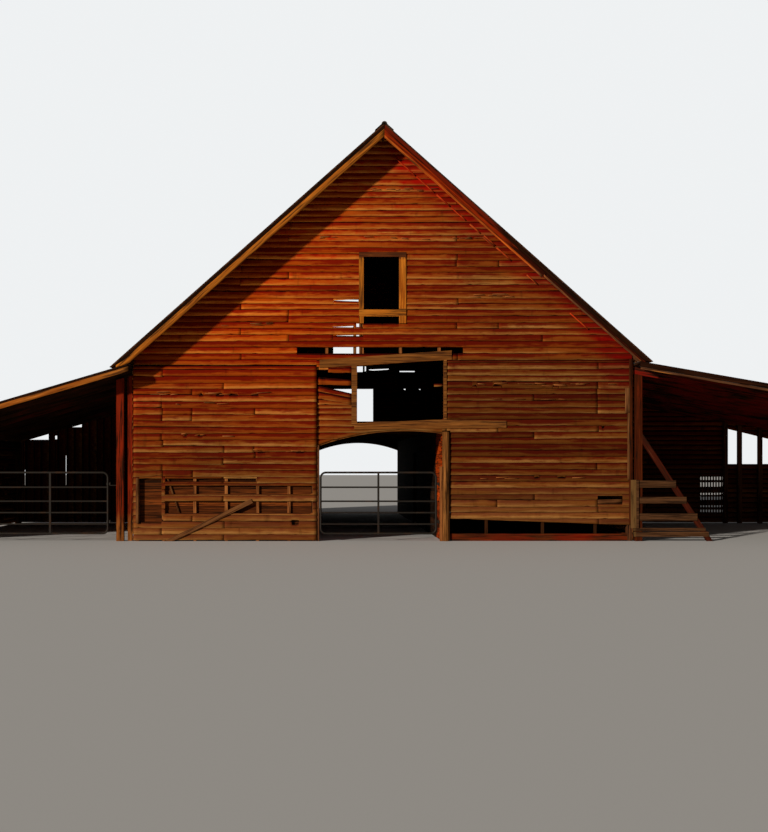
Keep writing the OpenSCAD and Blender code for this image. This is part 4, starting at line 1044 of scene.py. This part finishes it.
def pickets():
    stack, count, thick = Stack(), picketLook["count"], picketLook["thick"]
    y, low, high = rightShed["end"] - picketLook["inFront"], picketLook["foot"], picketLook["top"]
    for i in range(count):
        x = mid + rightOut - picketLook["inside"] + i * picketLook["apart"]
        nailBoard(stack, (x, y, low), (x, y, high), picketLook["wide"], thick, i / count)
    reaches = (faceX + picketLook["strip"][0], leftOut + picketLook["strip"][1])
    y, under = leftShed["end"] - picketLook["stripInFront"], picketLook["under"]
    start, end = (Vector((mid - u, y, shedTop(leftShed, u) - under)) for u in reaches)
    nailBoard(stack, start, end, picketLook["stripWide"], thick, picketLook["stripTone"])
    piece = makeBoards("pickets", stack, timberZ, **picketLook["stock"])


fanBoards()
oddBoards()
slivers()
rakeStrip()
roofTrims()
cornerBoard()
pickets()


# The studio. Its camera stands where the photograph's did, and looks the same way. Pixels are those of the
# photograph, and its axis is where the lines that run straight away from the camera meet.
stageLook = {
    "floor": (0.57, 0.56, 0.54), "gloss": 0.12, "floorReach": 150, "floorZ": -0.001,
    "fill": (0.97, 0.98, 1.0), "fillStrength": 0.12, "backdrop": (0.86, 0.88, 0.89), "backdropStrength": 1.0,
    "sun": (1.0, 0.93, 0.84), "sunStrength": 4.0, "sunWidth": 3, "sunHeading": 42, "sunHeight": 16,
    "sunPlace": (-20, -20, 14),
    "eye": (-2.25, -34.02, 1.6), "focalPixels": 1269, "photoPixels": (768, 832), "axisPixel": (320, 464),
}


def placeInScene(name, data):
    obj = bpy.data.objects.new(name, data)
    bpy.context.scene.collection.objects.link(obj)
    return obj


def makeFloor():
    reach, z = stageLook["floorReach"], stageLook["floorZ"]
    mesh = bpy.data.meshes.new("studio_floor")
    corners = [(-reach, -reach, z), (reach, -reach, z), (reach, reach, z), (-reach, reach, z)]
    mesh.from_pydata(corners, [], [(0, 1, 2, 3)])
    floor = placeInScene("studio_floor", mesh)
    material, web = newMaterial("studio_floor")
    finishMaterial(web, stageLook, stageLook["floor"], 0.9)
    mesh.materials.append(material)


# A faint fill from all round, behind a plain white backdrop
def makeWorld():
    world = bpy.data.worlds.new("studio")
    bpy.context.scene.world = world
    world.use_nodes = True
    web = Web(world.node_tree)
    world.node_tree.nodes.clear()
    rays = web.node("ShaderNodeLightPath", {}, {}).outputs
    seen = Sock(web, rays["Is Camera Ray"]).calc("MAXIMUM", Sock(web, rays["Is Transmission Ray"]))
    glow = {"Color": stageLook["fill"], "Strength": stageLook["fillStrength"]}
    fill = web.add("ShaderNodeBackground", {}, glow)
    glow = {"Color": stageLook["backdrop"], "Strength": stageLook["backdropStrength"]}
    backdrop = web.add("ShaderNodeBackground", {}, glow)
    shown = web.add("ShaderNodeMixShader", {}, {0: seen, 1: fill, 2: backdrop})
    web.node("ShaderNodeOutputWorld", {}, {"Surface": shown})


# One broad key from the front left, as low as the studio allows, so that the eaves shade the gable
def makeKey():
    key = bpy.data.lights.new("key", "SUN")
    key.energy = stageLook["sunStrength"]
    key.angle = math.radians(stageLook["sunWidth"])
    key.color = stageLook["sun"]
    lamp = placeInScene("key", key)
    heading, height = math.radians(stageLook["sunHeading"]), math.radians(stageLook["sunHeight"])
    towards = Vector((math.sin(heading), math.cos(heading), -math.tan(height)))
    lamp.rotation_euler = towards.to_track_quat("-Z", "Y").to_euler()
    lamp.location = stageLook["sunPlace"]


def makeCamera():
    (wide, tall), (axisX, axisY) = stageLook["photoPixels"], stageLook["axisPixel"]
    camera = bpy.data.cameras.new("camera")
    camera.sensor_fit = "VERTICAL"
    camera.sensor_height = 36
    camera.lens = stageLook["focalPixels"] / tall * camera.sensor_height
    camera.clip_end = 500
    camera.shift_x = (wide / 2 - axisX) / tall
    camera.shift_y = (axisY - tall / 2) / tall
    eye = placeInScene("camera", camera)
    eye.location = stageLook["eye"]
    eye.rotation_euler = (math.radians(90), 0, 0)
    bpy.context.scene.camera = eye


makeFloor()
makeWorld()
makeKey()
makeCamera()
bpy.context.scene.view_settings.view_transform = "Standard"
print("stage")
